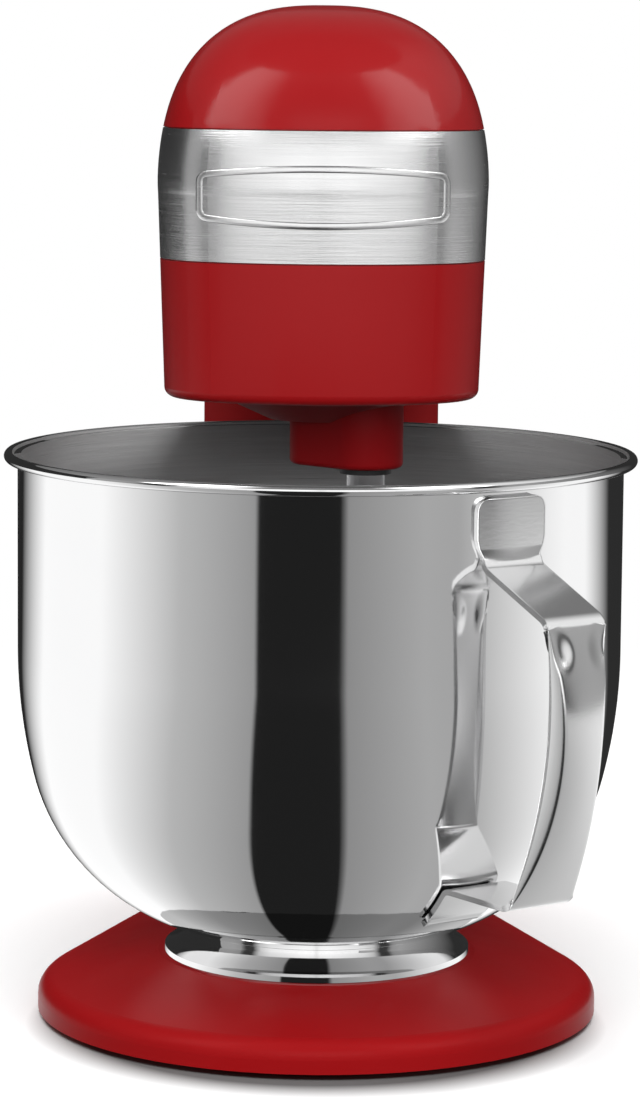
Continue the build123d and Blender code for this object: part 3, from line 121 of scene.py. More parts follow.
def handling_group():
    """Soft uneven patches, as hands and cloths leave on a finish: a colour and a roughness that drift."""
    tree, start, end = new_group(
        "handling",
        [
            ("Colour", "NodeSocketColor", (0.5, 0.5, 0.5, 1.0)),
            ("Other Colour", "NodeSocketColor", (0.4, 0.4, 0.4, 1.0)),
            ("Stretch", "NodeSocketVector", (1.0, 1.0, 1.0)),
            ("Patch Scale", "NodeSocketFloat", 20.0),
            ("Roughness Low", "NodeSocketFloat", 0.2),
            ("Roughness High", "NodeSocketFloat", 0.3),
        ],
        [("Colour", "NodeSocketColor"), ("Roughness", "NodeSocketFloat")],
    )
    place = add_node(tree, "ShaderNodeTexCoord")
    stretch = add_node(tree, "ShaderNodeVectorMath", operation="MULTIPLY")
    patches = add_node(tree, "ShaderNodeTexNoise")
    set_inputs(patches, Detail=4.0, Roughness=0.55)
    mix = add_node(tree, "ShaderNodeMix", data_type="RGBA")
    spread = add_node(tree, "ShaderNodeMapRange")
    set_inputs(spread, From_Min=0.3, From_Max=0.7)
    tree.links.new(place.outputs["Object"], stretch.inputs[0])
    tree.links.new(start.outputs["Stretch"], stretch.inputs[1])
    tree.links.new(stretch.outputs["Vector"], patches.inputs["Vector"])
    tree.links.new(start.outputs["Patch Scale"], patches.inputs["Scale"])
    tree.links.new(patches.outputs["Fac"], mix.inputs[MIX_FACTOR])
    tree.links.new(start.outputs["Colour"], mix.inputs[MIX_FIRST])
    tree.links.new(start.outputs["Other Colour"], mix.inputs[MIX_SECOND])
    tree.links.new(patches.outputs["Fac"], spread.inputs["Value"])
    tree.links.new(start.outputs["Roughness Low"], spread.inputs["To Min"])
    tree.links.new(start.outputs["Roughness High"], spread.inputs["To Max"])
    tree.links.new(mix.outputs[MIX_RESULT], end.inputs["Colour"])
    tree.links.new(spread.outputs["Result"], end.inputs["Roughness"])
    return tree


def grain_group():
    """Fine noise stretched along one direction or left round, as a height for a bump."""
    tree, start, end = new_group(
        "grain",
        [
            ("Stretch", "NodeSocketVector", (1.0, 1.0, 1.0)),
            ("Grain Scale", "NodeSocketFloat", 500.0),
        ],
        [("Height", "NodeSocketFloat")],
    )
    place = add_node(tree, "ShaderNodeTexCoord")
    stretch = add_node(tree, "ShaderNodeVectorMath", operation="MULTIPLY")
    noise = add_node(tree, "ShaderNodeTexNoise")
    set_inputs(noise, Detail=3.0, Roughness=0.6)
    tree.links.new(place.outputs["Object"], stretch.inputs[0])
    tree.links.new(start.outputs["Stretch"], stretch.inputs[1])
    tree.links.new(stretch.outputs["Vector"], noise.inputs["Vector"])
    tree.links.new(start.outputs["Grain Scale"], noise.inputs["Scale"])
    tree.links.new(noise.outputs["Fac"], end.inputs["Height"])
    return tree


HANDLING = handling_group()
GRAIN = grain_group()

# How a pattern is stretched: not at all, or into streaks that run level.
EVEN = (1.0, 1.0, 1.0)
STREAKS = (0.02, 0.02, 1.0)


def finished(name, colour, other, metallic, rough, patch_scale=20.0, stretch=EVEN, grain=None, **gloss):
    """A finish: colour and roughness drift by the handling group, and the surface has a fine grain.

    rough is the lowest and highest roughness; grain is its stretch, scale, strength and depth.
    """
    material, tree, shader = new_material(name, metallic, **gloss)
    handling = add_node(tree, "ShaderNodeGroup", node_tree=HANDLING)
    handling.inputs["Colour"].default_value = (*colour, 1.0)
    handling.inputs["Other Colour"].default_value = (*other, 1.0)
    handling.inputs["Stretch"].default_value = stretch
    handling.inputs["Patch Scale"].default_value = patch_scale
    handling.inputs["Roughness Low"].default_value = rough[0]
    handling.inputs["Roughness High"].default_value = rough[1]
    tree.links.new(handling.outputs["Colour"], shader.inputs["Base Color"])
    tree.links.new(handling.outputs["Roughness"], shader.inputs["Roughness"])
    if grain:
        direction, scale, strength, depth = grain
        fine = add_node(tree, "ShaderNodeGroup", node_tree=GRAIN)
        fine.inputs["Stretch"].default_value = direction
        fine.inputs["Grain Scale"].default_value = scale
        bump = add_node(tree, "ShaderNodeBump")
        set_inputs(bump, Strength=strength, Distance=depth)
        tree.links.new(fine.outputs["Height"], bump.inputs["Height"])
        tree.links.new(bump.outputs["Normal"], shader.inputs["Normal"])
    return material


RED_ENAMEL = finished(
    "red_enamel", (0.37, 0.006, 0.008), (0.34, 0.005, 0.007), 0.0, (0.30, 0.38),
    grain=(EVEN, 700.0, 0.03, 0.0004), coat=0.45, coat_roughness=0.12, specular=0.1,
)
HOUSING_ENAMEL = finished(
    "housing_enamel", (0.37, 0.006, 0.008), (0.34, 0.005, 0.007), 0.0, (0.32, 0.40),
    grain=(EVEN, 700.0, 0.03, 0.0004), coat=0.2, coat_roughness=0.14, specular=0.1,
)
BASE_ENAMEL = finished(
    "base_enamel", (0.40, 0.007, 0.009), (0.37, 0.006, 0.008), 0.0, (0.32, 0.40),
    grain=(EVEN, 700.0, 0.03, 0.0004), coat=0.03, coat_roughness=0.2, specular=0.05,
)
# A darker copy of the red enamel for the planetary carrier: painted shade, as if it lay in the shadow of the
# head.
SHADED_CARRIER_ENAMEL = finished(
    "shaded_carrier_enamel", (0.26, 0.006, 0.008), (0.23, 0.005, 0.007), 0.0, (0.36, 0.44),
    grain=(EVEN, 700.0, 0.03, 0.0004), coat=0.03, coat_roughness=0.2, specular=0.05,
)
POLISHED_STEEL = finished(
    "polished_steel", (0.80, 0.80, 0.80), (0.77, 0.77, 0.775), 1.0, (0.035, 0.07),
    grain=((0.15, 0.15, 1.0), 900.0, 0.01, 0.0003),
)
SATIN_STEEL = finished(
    "satin_steel", (0.88, 0.88, 0.88), (0.82, 0.82, 0.825), 1.0, (0.15, 0.22),
    grain=((0.3, 0.3, 1.0), 900.0, 0.03, 0.0003),
)
BRUSHED_INSIDE = finished(
    "brushed_inside", (0.64, 0.64, 0.64), (0.38, 0.38, 0.385), 0.8, (0.34, 0.46), patch_scale=420.0,
    stretch=STREAKS, grain=(STREAKS, 1800.0, 0.35, 0.0004),
)
BRUSHED_PLATE = finished(
    "brushed_plate", (0.80, 0.80, 0.80), (0.72, 0.72, 0.725), 1.0, (0.22, 0.28), patch_scale=900.0,
    stretch=STREAKS, grain=(STREAKS, 2200.0, 0.12, 0.0003),
)
DIAL_METAL = finished(
    "dial_metal", (0.66, 0.66, 0.67), (0.58, 0.58, 0.59), 1.0, (0.20, 0.30),
    grain=((1.0, 0.05, 0.05), 1500.0, 0.12, 0.0003),
)
BLACK_PLASTIC = finished(
    "black_plastic", (0.014, 0.014, 0.015), (0.022, 0.022, 0.023), 0.0, (0.32, 0.46),
    grain=(EVEN, 1400.0, 0.20, 0.0004),
)
BLACK_RUBBER = finished(
    "black_rubber", (0.016, 0.016, 0.016), (0.026, 0.026, 0.026), 0.0, (0.62, 0.78),
    grain=(EVEN, 1100.0, 0.30, 0.0005),
)
ZINC_SCREWS = finished(
    "zinc_screws", (0.58, 0.59, 0.60), (0.48, 0.49, 0.51), 1.0, (0.24, 0.36), patch_scale=160.0,
    grain=(EVEN, 1500.0, 0.10, 0.0003),
)
BRIGHT_STEEL = finished(
    "bright_steel", (0.68, 0.68, 0.69), (0.60, 0.60, 0.61), 1.0, (0.12, 0.20), patch_scale=60.0,
    grain=((0.1, 0.1, 1.0), 1600.0, 0.08, 0.0003),
)
GEAR_STEEL = finished(
    "gear_steel", (0.34, 0.34, 0.35), (0.26, 0.26, 0.27), 1.0, (0.28, 0.42), patch_scale=60.0,
    grain=(EVEN, 900.0, 0.12, 0.0004),
)
CAST_ALUMINIUM = finished(
    "cast_aluminium", (0.60, 0.61, 0.62), (0.50, 0.51, 0.52), 1.0, (0.42, 0.58), patch_scale=60.0,
    grain=(EVEN, 650.0, 0.30, 0.0006),
)
BRONZE = finished(
    "bronze", (0.46, 0.28, 0.11), (0.36, 0.21, 0.08), 1.0, (0.28, 0.42), patch_scale=90.0,
    grain=(EVEN, 900.0, 0.12, 0.0004),
)
LAMINATIONS = finished(
    "laminations", (0.22, 0.22, 0.23), (0.15, 0.15, 0.16), 1.0, (0.38, 0.52), patch_scale=60.0,
    grain=((0.02, 0.02, 1.0), 1600.0, 0.40, 0.0005),
)
BOARD_GREEN = finished(
    "board_green", (0.015, 0.10, 0.035), (0.010, 0.07, 0.025), 0.0, (0.30, 0.42), patch_scale=90.0,
    grain=(EVEN, 1200.0, 0.10, 0.0003),
)

FINISHES = {
    "red_enamel": RED_ENAMEL,
    "polished_steel": POLISHED_STEEL,
    "brushed_plate": BRUSHED_PLATE,
    "dial_metal": DIAL_METAL,
    "black_plastic": BLACK_PLASTIC,
    "black_rubber": BLACK_RUBBER,
    "zinc_screws": ZINC_SCREWS,
    "bright_steel": BRIGHT_STEEL,
    "gear_steel": GEAR_STEEL,
    "cast_aluminium": CAST_ALUMINIUM,
    "bronze": BRONZE,
    "laminations": LAMINATIONS,
    "board_green": BOARD_GREEN,
}


def finish_frame_nodes():
    """Each solid of the frame gets the finish that its slot names; the housing and pedestal then get less
    glossy reds, the carrier a darker red of painted shade.
    """
    for subpart in frame["record"]["subparts"]:
        mesh = nodes[subpart["node"]].data
        mesh.materials.clear()
        mesh.materials.append(FINISHES[subpart["material_slot"]])
    nodes["head_lower_housing"].data.materials[0] = HOUSING_ENAMEL
    nodes["pedestal"].data.materials[0] = BASE_ENAMEL
    # The carrier's darker red is painted shade, not a colour of its own.
    nodes["planetary_carrier"].data.materials[0] = SHADED_CARRIER_ENAMEL


# The bowl, its handle and the border are drawn in millimetres about the bowl's axis, then set into the frame.
MM = 0.001
MERGE_GAP = 0.01            # points closer than this become one
ACROSS = (0.0, -1.0, 0.0)
UPRIGHT = (0.0, 0.0, 1.0)


def new_verts(made):
    return [item for item in made if isinstance(item, bmesh.types.BMVert)]


def new_edges(made):
    return [item for item in made if isinstance(item, bmesh.types.BMEdge)]


def draw_line(bm, tip, reach, height):
    """Draws on from the vertex tip to a point of the side view, and returns the new tip."""
    end = bmesh.ops.extrude_vert_indiv(bm, verts=[tip])["verts"][0]
    end.co = (reach, 0.0, height)
    return end


def draw_arc(bm, tip, reach, height, turn, steps):
    """Draws on round a centre of the side view, counter-clockwise where turn is positive."""
    centre = (reach, 0.0, height)
    made = bmesh.ops.spin(bm, geom=[tip], cent=centre, axis=ACROSS, angle=radians(turn), steps=steps)
    return new_verts(made["geom_last"])[0]


def spin_round(bm, steps):
    bmesh.ops.spin(
        bm, geom=bm.verts[:] + bm.edges[:], cent=(0, 0, 0), axis=UPRIGHT, angle=2 * pi, steps=steps,
        use_merge=True,
    )
    bmesh.ops.remove_doubles(bm, verts=bm.verts, dist=MERGE_GAP)
    bmesh.ops.recalc_face_normals(bm, faces=bm.faces)


def set_in_frame(bm):
    bmesh.ops.scale(bm, vec=(MM, MM, MM), verts=bm.verts)
    bmesh.ops.translate(bm, vec=(0.0, BOWL_AXIS_Y, 0.0), verts=bm.verts)


def add_piece(name, bm, body, slot, *materials):
    for face in bm.faces:
        face.smooth = True
    mesh = bpy.data.meshes.new(name)
    bm.to_mesh(mesh)
    bm.free()
    for material in materials:
        mesh.materials.append(material)
    piece = bpy.data.objects.new(name, mesh)
    bpy.context.scene.collection.objects.link(piece)
    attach(piece, body)
    return piece


# The bowl: a polished wall that is brushed inside, with a rolled rim.
BOWL_BOTTOM = 30.4
BOWL_WALL = 1.2
WALL_REACH = 109.0
LOW_ARC = (28.87, 107.2)    # centre of the bowl's lower arc: reach and height
LOW_TURN = 76.0
LOW_STEPS = 30
SIDE_ARC = (-80.0, 134.34)  # centre of the arc of its side
SIDE_TURN = 14.0
SIDE_STEPS = 16
NECK_STEPS = 4
BEAD = (112.0, 203.8)
BEAD_RADIUS = 1.9
BEAD_TURN = 323             # degrees that the rim is rolled
BEAD_STEPS = 28
BEAD_LEAN = radians(18.4)   # how far below the bead's middle the wall runs into it
RIM_INSIDE_TOP = 204.4
BOWL_STEPS = 192


def bowl_piece():
    """Spins one line, from the middle of the bottom up the outside, round the bead and down the inside."""
    bm = bmesh.new()
    tip = bm.verts.new((0.0, 0.0, BOWL_BOTTOM))
    tip = draw_line(bm, tip, LOW_ARC[0], BOWL_BOTTOM)
    tip = draw_arc(bm, tip, *LOW_ARC, LOW_TURN, LOW_STEPS)
    tip = draw_arc(bm, tip, *SIDE_ARC, SIDE_TURN, SIDE_STEPS)
    neck = BEAD[0] - BEAD_RADIUS * cos(BEAD_LEAN) - WALL_REACH
    neck_height = BEAD[1] - BEAD_RADIUS * sin(BEAD_LEAN) - neck
    tip = draw_line(bm, tip, WALL_REACH, neck_height)
    tip = draw_arc(bm, tip, WALL_REACH + neck, neck_height, -90, NECK_STEPS)
    tip = draw_arc(bm, tip, *BEAD, BEAD_TURN, BEAD_STEPS)
    tip = draw_line(bm, tip, WALL_REACH - BOWL_WALL, RIM_INSIDE_TOP)
    tip = draw_line(bm, tip, WALL_REACH - BOWL_WALL, SIDE_ARC[1])
    tip = draw_arc(bm, tip, *SIDE_ARC, -SIDE_TURN, SIDE_STEPS)
    tip = draw_arc(bm, tip, *LOW_ARC, -LOW_TURN, LOW_STEPS)
    draw_line(bm, tip, 0.0, BOWL_BOTTOM + BOWL_WALL)
    spin_round(bm, BOWL_STEPS)
    middle = Vector((0.0, 0.0, (BOWL_BOTTOM + RIM_INSIDE_TOP) / 2))
    for face in bm.faces:
        centre = face.calc_center_median()
        inside = (middle - centre).dot(face.normal) > 0.0
        face.material_index = 1 if inside else 0
    set_in_frame(bm)
    piece = add_piece("mixing_bowl", bm, "bowl", "polished_steel", POLISHED_STEEL, BRUSHED_INSIDE)
    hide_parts("bowl")


# The handle: one steel strap, bent from a tab under the rim round to a tab low on the bowl.
HANDLE_TURN = radians(-54.0)
STRAP_THICK = 2.0
STRAP_HALF = 12.4
STRAP_LOW_HALF = 13.5
STRAP_COLUMNS = 40
TAB_HALF = 14.75
TAB_TOP = (111.05, 200.0)
TAB_CORNER = 5.0
TAB_RUN = 20.26
TAB_BEND = (66.4, 4.0)      # a bend is its turn in degrees and its radius
TAB_ROWS = 5
ARM_RUN = 30.9
ARM_ROWS = 8
TOP_BEND = (-47.5, 7.0)
BEND_ROWS = 7
GRIP_BEND = (-56.6, 102.5)
GRIP_ROWS = 90
LOW_BEND = (-52.3, 7.0)
LOW_ARM_RUN = 29.9
LOW_TAB_BEND = (53.05, 3.0)
LOW_TAB_ARC = (-12.5, 78.85)
LOW_TAB_ROWS = 4
CREASE_SHARE = 0.62         # how far out on the strap the creases are, as a share of its half width
CREASE_HALF = 7.4
CHEEK_HALF = 10.2
CHEEK_DEPTH = 7.0
CHEEK_SWELL = 0.7           # how slowly the fold grows from the grip's ends
CHEEK_EASE = 0.25           # how steeply a cheek leaves its crease
GRIP_CROWN = 0.6            # how far the creases lie behind the grip's middle line
DENT_DROP = 7.5             # from the grip's upper end down to the middle of a dent
DENT_SIDE = 6.4             # from the strap's middle line out to it
DENT_SIZE = (4.6, 8.5)
DENT_DEPTH = 1.1
STRAP_EDGE = 0.4
STRAP_EDGE_STEPS = 2
STRAP_EDGE_ANGLE = 50.0     # degrees, the least angle of an edge that is rounded


class StrapRun:
    """A row of edges extruded along runs and bends of the side view, which remembers each row it leaves."""

    def __init__(self, bm, edges, reach, height, heading):
        self.bm = bm
        self.edges = edges
        self.place = Vector((reach, 0.0, height))
        self.heading = heading
        self.rows = []

    def inward(self):
        angle = radians(self.heading - 90.0)
        return Vector((cos(angle), 0.0, sin(angle)))

    def step(self, matrix):
        made = bmesh.ops.extrude_edge_only(self.bm, edges=self.edges)["geom"]
        verts = new_verts(made)
        fresh = set(verts)
        self.edges = [edge for edge in new_edges(made) if all(vert in fresh for vert in edge.verts)]
        bmesh.ops.transform(self.bm, matrix=matrix, verts=verts)
        self.place = matrix @ self.place
        self.rows.append((verts, self.inward()))

    def run(self, length, steps=1):
        angle = radians(self.heading)
        move = Vector((cos(angle), 0.0, sin(angle))) * (length / steps)
        for _ in range(steps):
            self.step(Matrix.Translation(move))

    def bend(self, turn, radius, steps):
        side = 1.0 if turn < 0 else -1.0
        centre = self.place + self.inward() * radius * side
        there, back = Matrix.Translation(centre), Matrix.Translation(-centre)
        for _ in range(steps):
            self.heading += turn / steps
            self.step(there @ Matrix.Rotation(radians(turn / steps), 4, ACROSS) @ back)


def fold_cheeks(rows):
    """Crowns the strap and folds its edges back as cheeks, most in the grip's middle, not at its ends."""
    for number, (verts, inward) in enumerate(rows):
        fold = max(sin(pi * number / (len(rows) - 1)), 0.0) ** CHEEK_SWELL
        crease = STRAP_HALF + (CREASE_HALF - STRAP_HALF) * fold
        edge = STRAP_HALF + (CHEEK_HALF - STRAP_HALF) * fold
        for vert in verts:
            share = abs(vert.co.y) / STRAP_HALF
            side = 1.0 if vert.co.y > 0 else -1.0
            past = max((share - CREASE_SHARE) / (1.0 - CREASE_SHARE), 0.0)
            vert.co.y = side * (crease * min(share / CREASE_SHARE, 1.0) + (edge - crease) * past)
            crown = GRIP_CROWN * min(share / CREASE_SHARE, 1.0) ** 2
            cheek = CHEEK_DEPTH * past * (past + CHEEK_EASE) / (1.0 + CHEEK_EASE)
            vert.co += inward * fold * (crown + cheek)


def dent_grip(rows):
    """Presses a small hollow into each side of the grip, just below its upper bend."""
    step = radians(-GRIP_BEND[0]) * GRIP_BEND[1] / GRIP_ROWS
    for number, (verts, inward) in enumerate(rows):
        drop = (number * step - DENT_DROP) / DENT_SIZE[1]
        for vert in verts:
            out = (abs(vert.co.y) - DENT_SIDE) / DENT_SIZE[0]
            vert.co += inward * DENT_DEPTH * max(1.0 - drop * drop - out * out, 0.0) ** 2


def widen(bm, rows, first, last):
    """Changes the strap's half width evenly from the first row to the last."""
    for number, (verts, _) in enumerate(rows):
        half = first + (last - first) * number / (len(rows) - 1)
        bmesh.ops.scale(bm, vec=(1.0, half / STRAP_HALF, 1.0), verts=verts)


def shape_tab(bm, rows):
    """Gives the upper tab its width and round corners, and lays it on the round of the bowl."""
    for verts, _ in rows:
        drop = TAB_TOP[1] - verts[0].co.z
        short = max(TAB_CORNER - drop, 0.0)
        half = TAB_HALF - TAB_CORNER + sqrt(TAB_CORNER ** 2 - short ** 2)
        narrow = max(drop - TAB_RUN + TAB_CORNER, 0.0) / TAB_CORNER
        half += (STRAP_HALF - half) * narrow * narrow * (3.0 - 2.0 * narrow)
        bmesh.ops.scale(bm, vec=(1.0, half / STRAP_HALF, 1.0), verts=verts)
        for vert in verts:
            vert.co.x = sqrt(TAB_TOP[0] ** 2 - vert.co.y ** 2)


def handle_piece():
    bm = bmesh.new()
    tip = bm.verts.new((TAB_TOP[0], -STRAP_HALF, TAB_TOP[1]))
    edges = []
    for _ in range(STRAP_COLUMNS):
        made = bmesh.ops.extrude_vert_indiv(bm, verts=[tip])
        tip = made["verts"][0]
        tip.co.y += 2 * STRAP_HALF / STRAP_COLUMNS
        edges += made["edges"]
    strap = StrapRun(bm, edges, *TAB_TOP, -90.0)
    strap.rows.append((bm.verts[:], strap.inward()))
    strap.run(TAB_CORNER, TAB_ROWS)
    strap.run(TAB_RUN - TAB_CORNER, TAB_ROWS)
    tab_rows = list(strap.rows)
    strap.bend(*TAB_BEND, TAB_ROWS)
    strap.run(ARM_RUN, ARM_ROWS)
    strap.bend(*TOP_BEND, BEND_ROWS)
    grip_start = len(strap.rows) - 1
    strap.bend(*GRIP_BEND, GRIP_ROWS)
    grip_rows = strap.rows[grip_start:]
    low_start = len(strap.rows)
    strap.bend(*LOW_BEND, BEND_ROWS)
    strap.run(LOW_ARM_RUN, ARM_ROWS)
    strap.bend(*LOW_TAB_BEND, LOW_TAB_ROWS)
    strap.bend(*LOW_TAB_ARC, LOW_TAB_ROWS)
    dent_grip(grip_rows)
    fold_cheeks(grip_rows)
    widen(bm, grip_rows, STRAP_HALF, STRAP_LOW_HALF)
    widen(bm, strap.rows[low_start:], STRAP_LOW_HALF, STRAP_HALF)
    shape_tab(bm, tab_rows)
    bmesh.ops.recalc_face_normals(bm, faces=bm.faces)
    bmesh.ops.rotate(bm, cent=(0, 0, 0), matrix=Matrix.Rotation(HANDLE_TURN, 3, "Z"), verts=bm.verts)
    set_in_frame(bm)
    piece = add_piece("bowl_strap_handle", bm, "bowl", "polished_steel", SATIN_STEEL)
    wall = piece.modifiers.new("wall", "SOLIDIFY")
    wall.thickness = STRAP_THICK * MM
    wall.offset = -1.0
    edge = piece.modifiers.new("edge", "BEVEL")
    edge.width = STRAP_EDGE * MM
    edge.segments = STRAP_EDGE_STEPS
    edge.limit_method = "ANGLE"
    edge.angle_limit = radians(STRAP_EDGE_ANGLE)
    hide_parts("bowl_handle")


# The border on the front plate: a low raised band round a bare field.
BORDER_HALF_WIDTH = 42.5
BORDER_HALF_HEIGHT = 9.7
BORDER_BOW = 380.0
BORDER_CORNER = 3.0
BORDER_MIDDLE = 299.0
BORDER_BOW_STEPS = 48
BORDER_CORNER_STEPS = 8
IN_FRONT = -1.0             # in metres, well in front of the plate
# Points of the band's section: out from its middle line, and up from the plate.
BORDER_SECTION = ((-1.2, -0.2), (-1.2, 0.08), (-0.85, 0.24), (0.85, 0.24), (1.2, 0.08), (1.2, -0.2))


def border_piece():
    """Sweeps the border's section round its outline, then lays it on the plate."""
    bm = bmesh.new()
    bow_centre = BORDER_HALF_HEIGHT - BORDER_BOW
    corner_reach = BORDER_HALF_WIDTH - BORDER_CORNER
    corner_height = bow_centre + sqrt((BORDER_BOW - BORDER_CORNER) ** 2 - corner_reach ** 2)
    bow = asin(corner_reach / (BORDER_BOW - BORDER_CORNER))
    ring = [bm.verts.new((0.0, -rise, BORDER_HALF_HEIGHT + out)) for out, rise in BORDER_SECTION]
    ends = [bm.edges.new((ring[i - 1], ring[i])) for i in range(len(ring))]
    lean = Matrix.Rotation(-bow, 3, "Y")
    bmesh.ops.rotate(bm, cent=(0, 0, bow_centre), matrix=lean, verts=ring)

    def sweep(geom, reach, height, turn, steps):
        made = bmesh.ops.spin(
            bm, geom=geom, cent=(reach, 0.0, height), axis=ACROSS, angle=-turn, steps=steps
        )
        return made["geom_last"]

    def slide(geom, fall):
        edges = new_edges(geom)
        made = bmesh.ops.extrude_edge_only(bm, edges=edges)["geom"]
        verts = new_verts(made)
        bmesh.ops.translate(bm, vec=(0.0, 0.0, fall), verts=verts)
        fresh = set(verts)
        return verts + [edge for edge in new_edges(made) if all(vert in fresh for vert in edge.verts)]

    geom = ring + ends
    for side in (1.0, -1.0):
        geom = sweep(geom, 0.0, side * bow_centre, 2 * bow, BORDER_BOW_STEPS)
        geom = sweep(geom, side * corner_reach, side * corner_height, pi / 2 - bow, BORDER_CORNER_STEPS)
        geom = slide(geom, -side * 2 * corner_height)
        geom = sweep(geom, side * corner_reach, -side * corner_height, pi / 2 - bow, BORDER_CORNER_STEPS)
    bmesh.ops.remove_doubles(bm, verts=bm.verts, dist=MERGE_GAP)
    bmesh.ops.recalc_face_normals(bm, faces=bm.faces)
    bmesh.ops.translate(bm, vec=(0.0, 0.0, BORDER_MIDDLE), verts=bm.verts)
    set_in_frame(bm)
    bpy.context.view_layer.update()
    plate = nodes["front_plate"]
    back = Vector((0.0, 1.0, 0.0))
    for vert in bm.verts:
        spot = plate.ray_cast(Vector((vert.co.x, IN_FRONT, vert.co.z)), back)[1]
        vert.co.y += spot.y - BOWL_AXIS_Y
    add_piece("plate_border", bm, "head", "brushed_plate", BRUSHED_PLATE)


# The spring under the lock pin: a coil of wire.
SPRING_WIRE = 1.2 * MM
SPRING_SIDES = 12
SPRING_TURNS = 5
SPRING_STEPS = 36           # steps of one turn


def spring_piece():
    """A coil between the bracket's shelf and the collar of the pin, with the same gap at both of its ends."""
    low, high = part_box("lock_spring")
    middle = (low + high) / 2
    reach = (high.x - low.x - SPRING_WIRE) / 2
    rise = (high.z - low.z - SPRING_WIRE) / (SPRING_TURNS * SPRING_STEPS)
    bm = bmesh.new()
    spot = Matrix.Translation((middle.x + reach, middle.y, low.z + SPRING_WIRE / 2))
    start = spot @ Matrix.Rotation(pi / 2, 4, "X")
    bmesh.ops.create_circle(bm, segments=SPRING_SIDES, radius=SPRING_WIRE / 2, matrix=start)
    bmesh.ops.spin(
        bm, geom=bm.verts[:] + bm.edges[:], cent=middle, axis=UPRIGHT, dvec=(0.0, 0.0, rise),
        angle=2 * pi * SPRING_TURNS, steps=SPRING_TURNS * SPRING_STEPS,
    )
    bmesh.ops.holes_fill(bm, edges=bm.edges, sides=0)
    bmesh.ops.recalc_face_normals(bm, faces=bm.faces)
    piece = add_piece("lock_coil", bm, "base", "bright_steel", BRIGHT_STEEL)
    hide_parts("lock_spring")
    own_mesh(piece)


# The studio: a pale floor, soft lamps, and rings and cards that only reflections see.
STUDIO_REACH = 2.6
STUDIO_HEIGHT = 6.0
STUDIO_STEPS = 96
CEILING_LEVEL = 0.12
FRONT_SHARE = 0.25              # the share of a turn at which the radial gradient points to the front
# The panels of a ring: degrees round from the mixer's front, and brightness.
BOWL_PANELS = (
    (-150, 0.02), (-122, 1.2), (-85, 1.2), (-60, 0.76), (-50, 0.58), (-22.5, 0.38), (-21.5, 0.016),
    (8, 0.016), (9, 0.32), (37, 0.48), (50, 0.46), (90, 1.06), (100, 1.16), (114, 1.16), (136, 0.03),
)
HEAD_SIDE_PANELS = (
    (0, 1.1), (3, 1.3), (10, 1.33), (40, 1.03), (49, 0.74), (56, 0.05), (63, 0.05), (68, 0.34), (76, 0.4),
    (150, 0.03),
)
DOME_PANELS = (
    (-150, 0.2), (-100, 0.3), (-72, 0.3), (-67, 4.4), (-47, 3.2), (-28, 0.25),
    (28, 0.25), (46, 3.4), (64, 4.6), (69, 0.9), (100, 0.9), (150, 0.2),
)
BOWL_SHADE = 0.5                # how dark the floor under the bowl is against the floor round it
SHADE_REACH = (0.002, 0.075)    # inner and outer reach of that darker floor
HEAD_PANELS_START = 1.5         # from here out, the floor has the head's panels
DOME_PANELS_START = 1.45        # from here up, the wall has the dome's panels
RING_LOW = 0.001
CARD_SIDES = 64
CARD_REACH = (0.043, 0.13)      # half width and half depth of the dark card under the head
CARD_Y = 0.02
CARD_HEIGHT = 0.226
CARD_LEVEL = 0.02
SEEN_IN_STEEL = ("bowl_foot", "shaft_collar", "beater_shaft")
FLOOR_FADE = (0.35, 0.95)       # where the floor starts to fade into the white round it, and where it ends
PAINTED_SHADOW_REACH = (0.088, 0.105)     # how far the dark of the painted contact shadow goes, and where it ends
PAINTED_SHADOW_SHIFT = 0.02              # how far in front of the bowl's axis the middle of that painted shadow is
# the floor's colour at the middle of the painted contact shadow
PAINTED_SHADOW_DARK = 0.14
FLOOR_WHITE = 0.93
AIR_LIGHT = 0.22                # how strongly the white world lights the mixer
# Lamps that light the mixer: name, place, width and height, and power in watts.
LAMPS = (
    ("front_lamp", (0.1, -2.1, 1.0), (1.4, 1.2), 32.0),
    ("left_lamp", (-1.7, -0.5, 1.1), (1.2, 1.6), 4.5),
    ("right_lamp", (1.7, -0.5, 1.0), (1.0, 1.6), 3.5),
    ("top_lamp", (0.0, -0.2, 2.0), (1.6, 1.6), 16.0),
    ("back_lamp", (0.0, 1.9, 1.0), (1.4, 1.2), 14.0),
)
LAMP_AIM = (0.0, BOWL_AXIS_Y, 0.2)
FLOOR_LAMP_PLACE = (0.0, BOWL_AXIS_Y - 0.2, 1.6)
FLOOR_LAMP_AIM = (0.0, BOWL_AXIS_Y, 0.0)
FLOOR_LAMP_SIZE = (2.2, 2.2)
FLOOR_LAMP_POWER = 60.0


def glow(name):
    material = bpy.data.materials.new(name)
    material.use_nodes = True
    tree = material.node_tree
    tree.nodes.remove(tree.nodes["Principled BSDF"])
    lamp = add_node(tree, "ShaderNodeEmission")
    tree.links.new(lamp.outputs[0], tree.nodes["Material Output"].inputs["Surface"])
    return material, tree, lamp


def stage_piece(name, bm, material):
    mesh = bpy.data.meshes.new(name)
    bm.to_mesh(mesh)
    bm.free()
    mesh.materials.append(material)
    piece = bpy.data.objects.new(name, mesh)
    bpy.context.scene.collection.objects.link(piece)
    return piece


def reflections_only(piece):
    piece.visible_camera = False
    piece.visible_diffuse = False
    piece.visible_shadow = False
    piece.visible_transmission = False


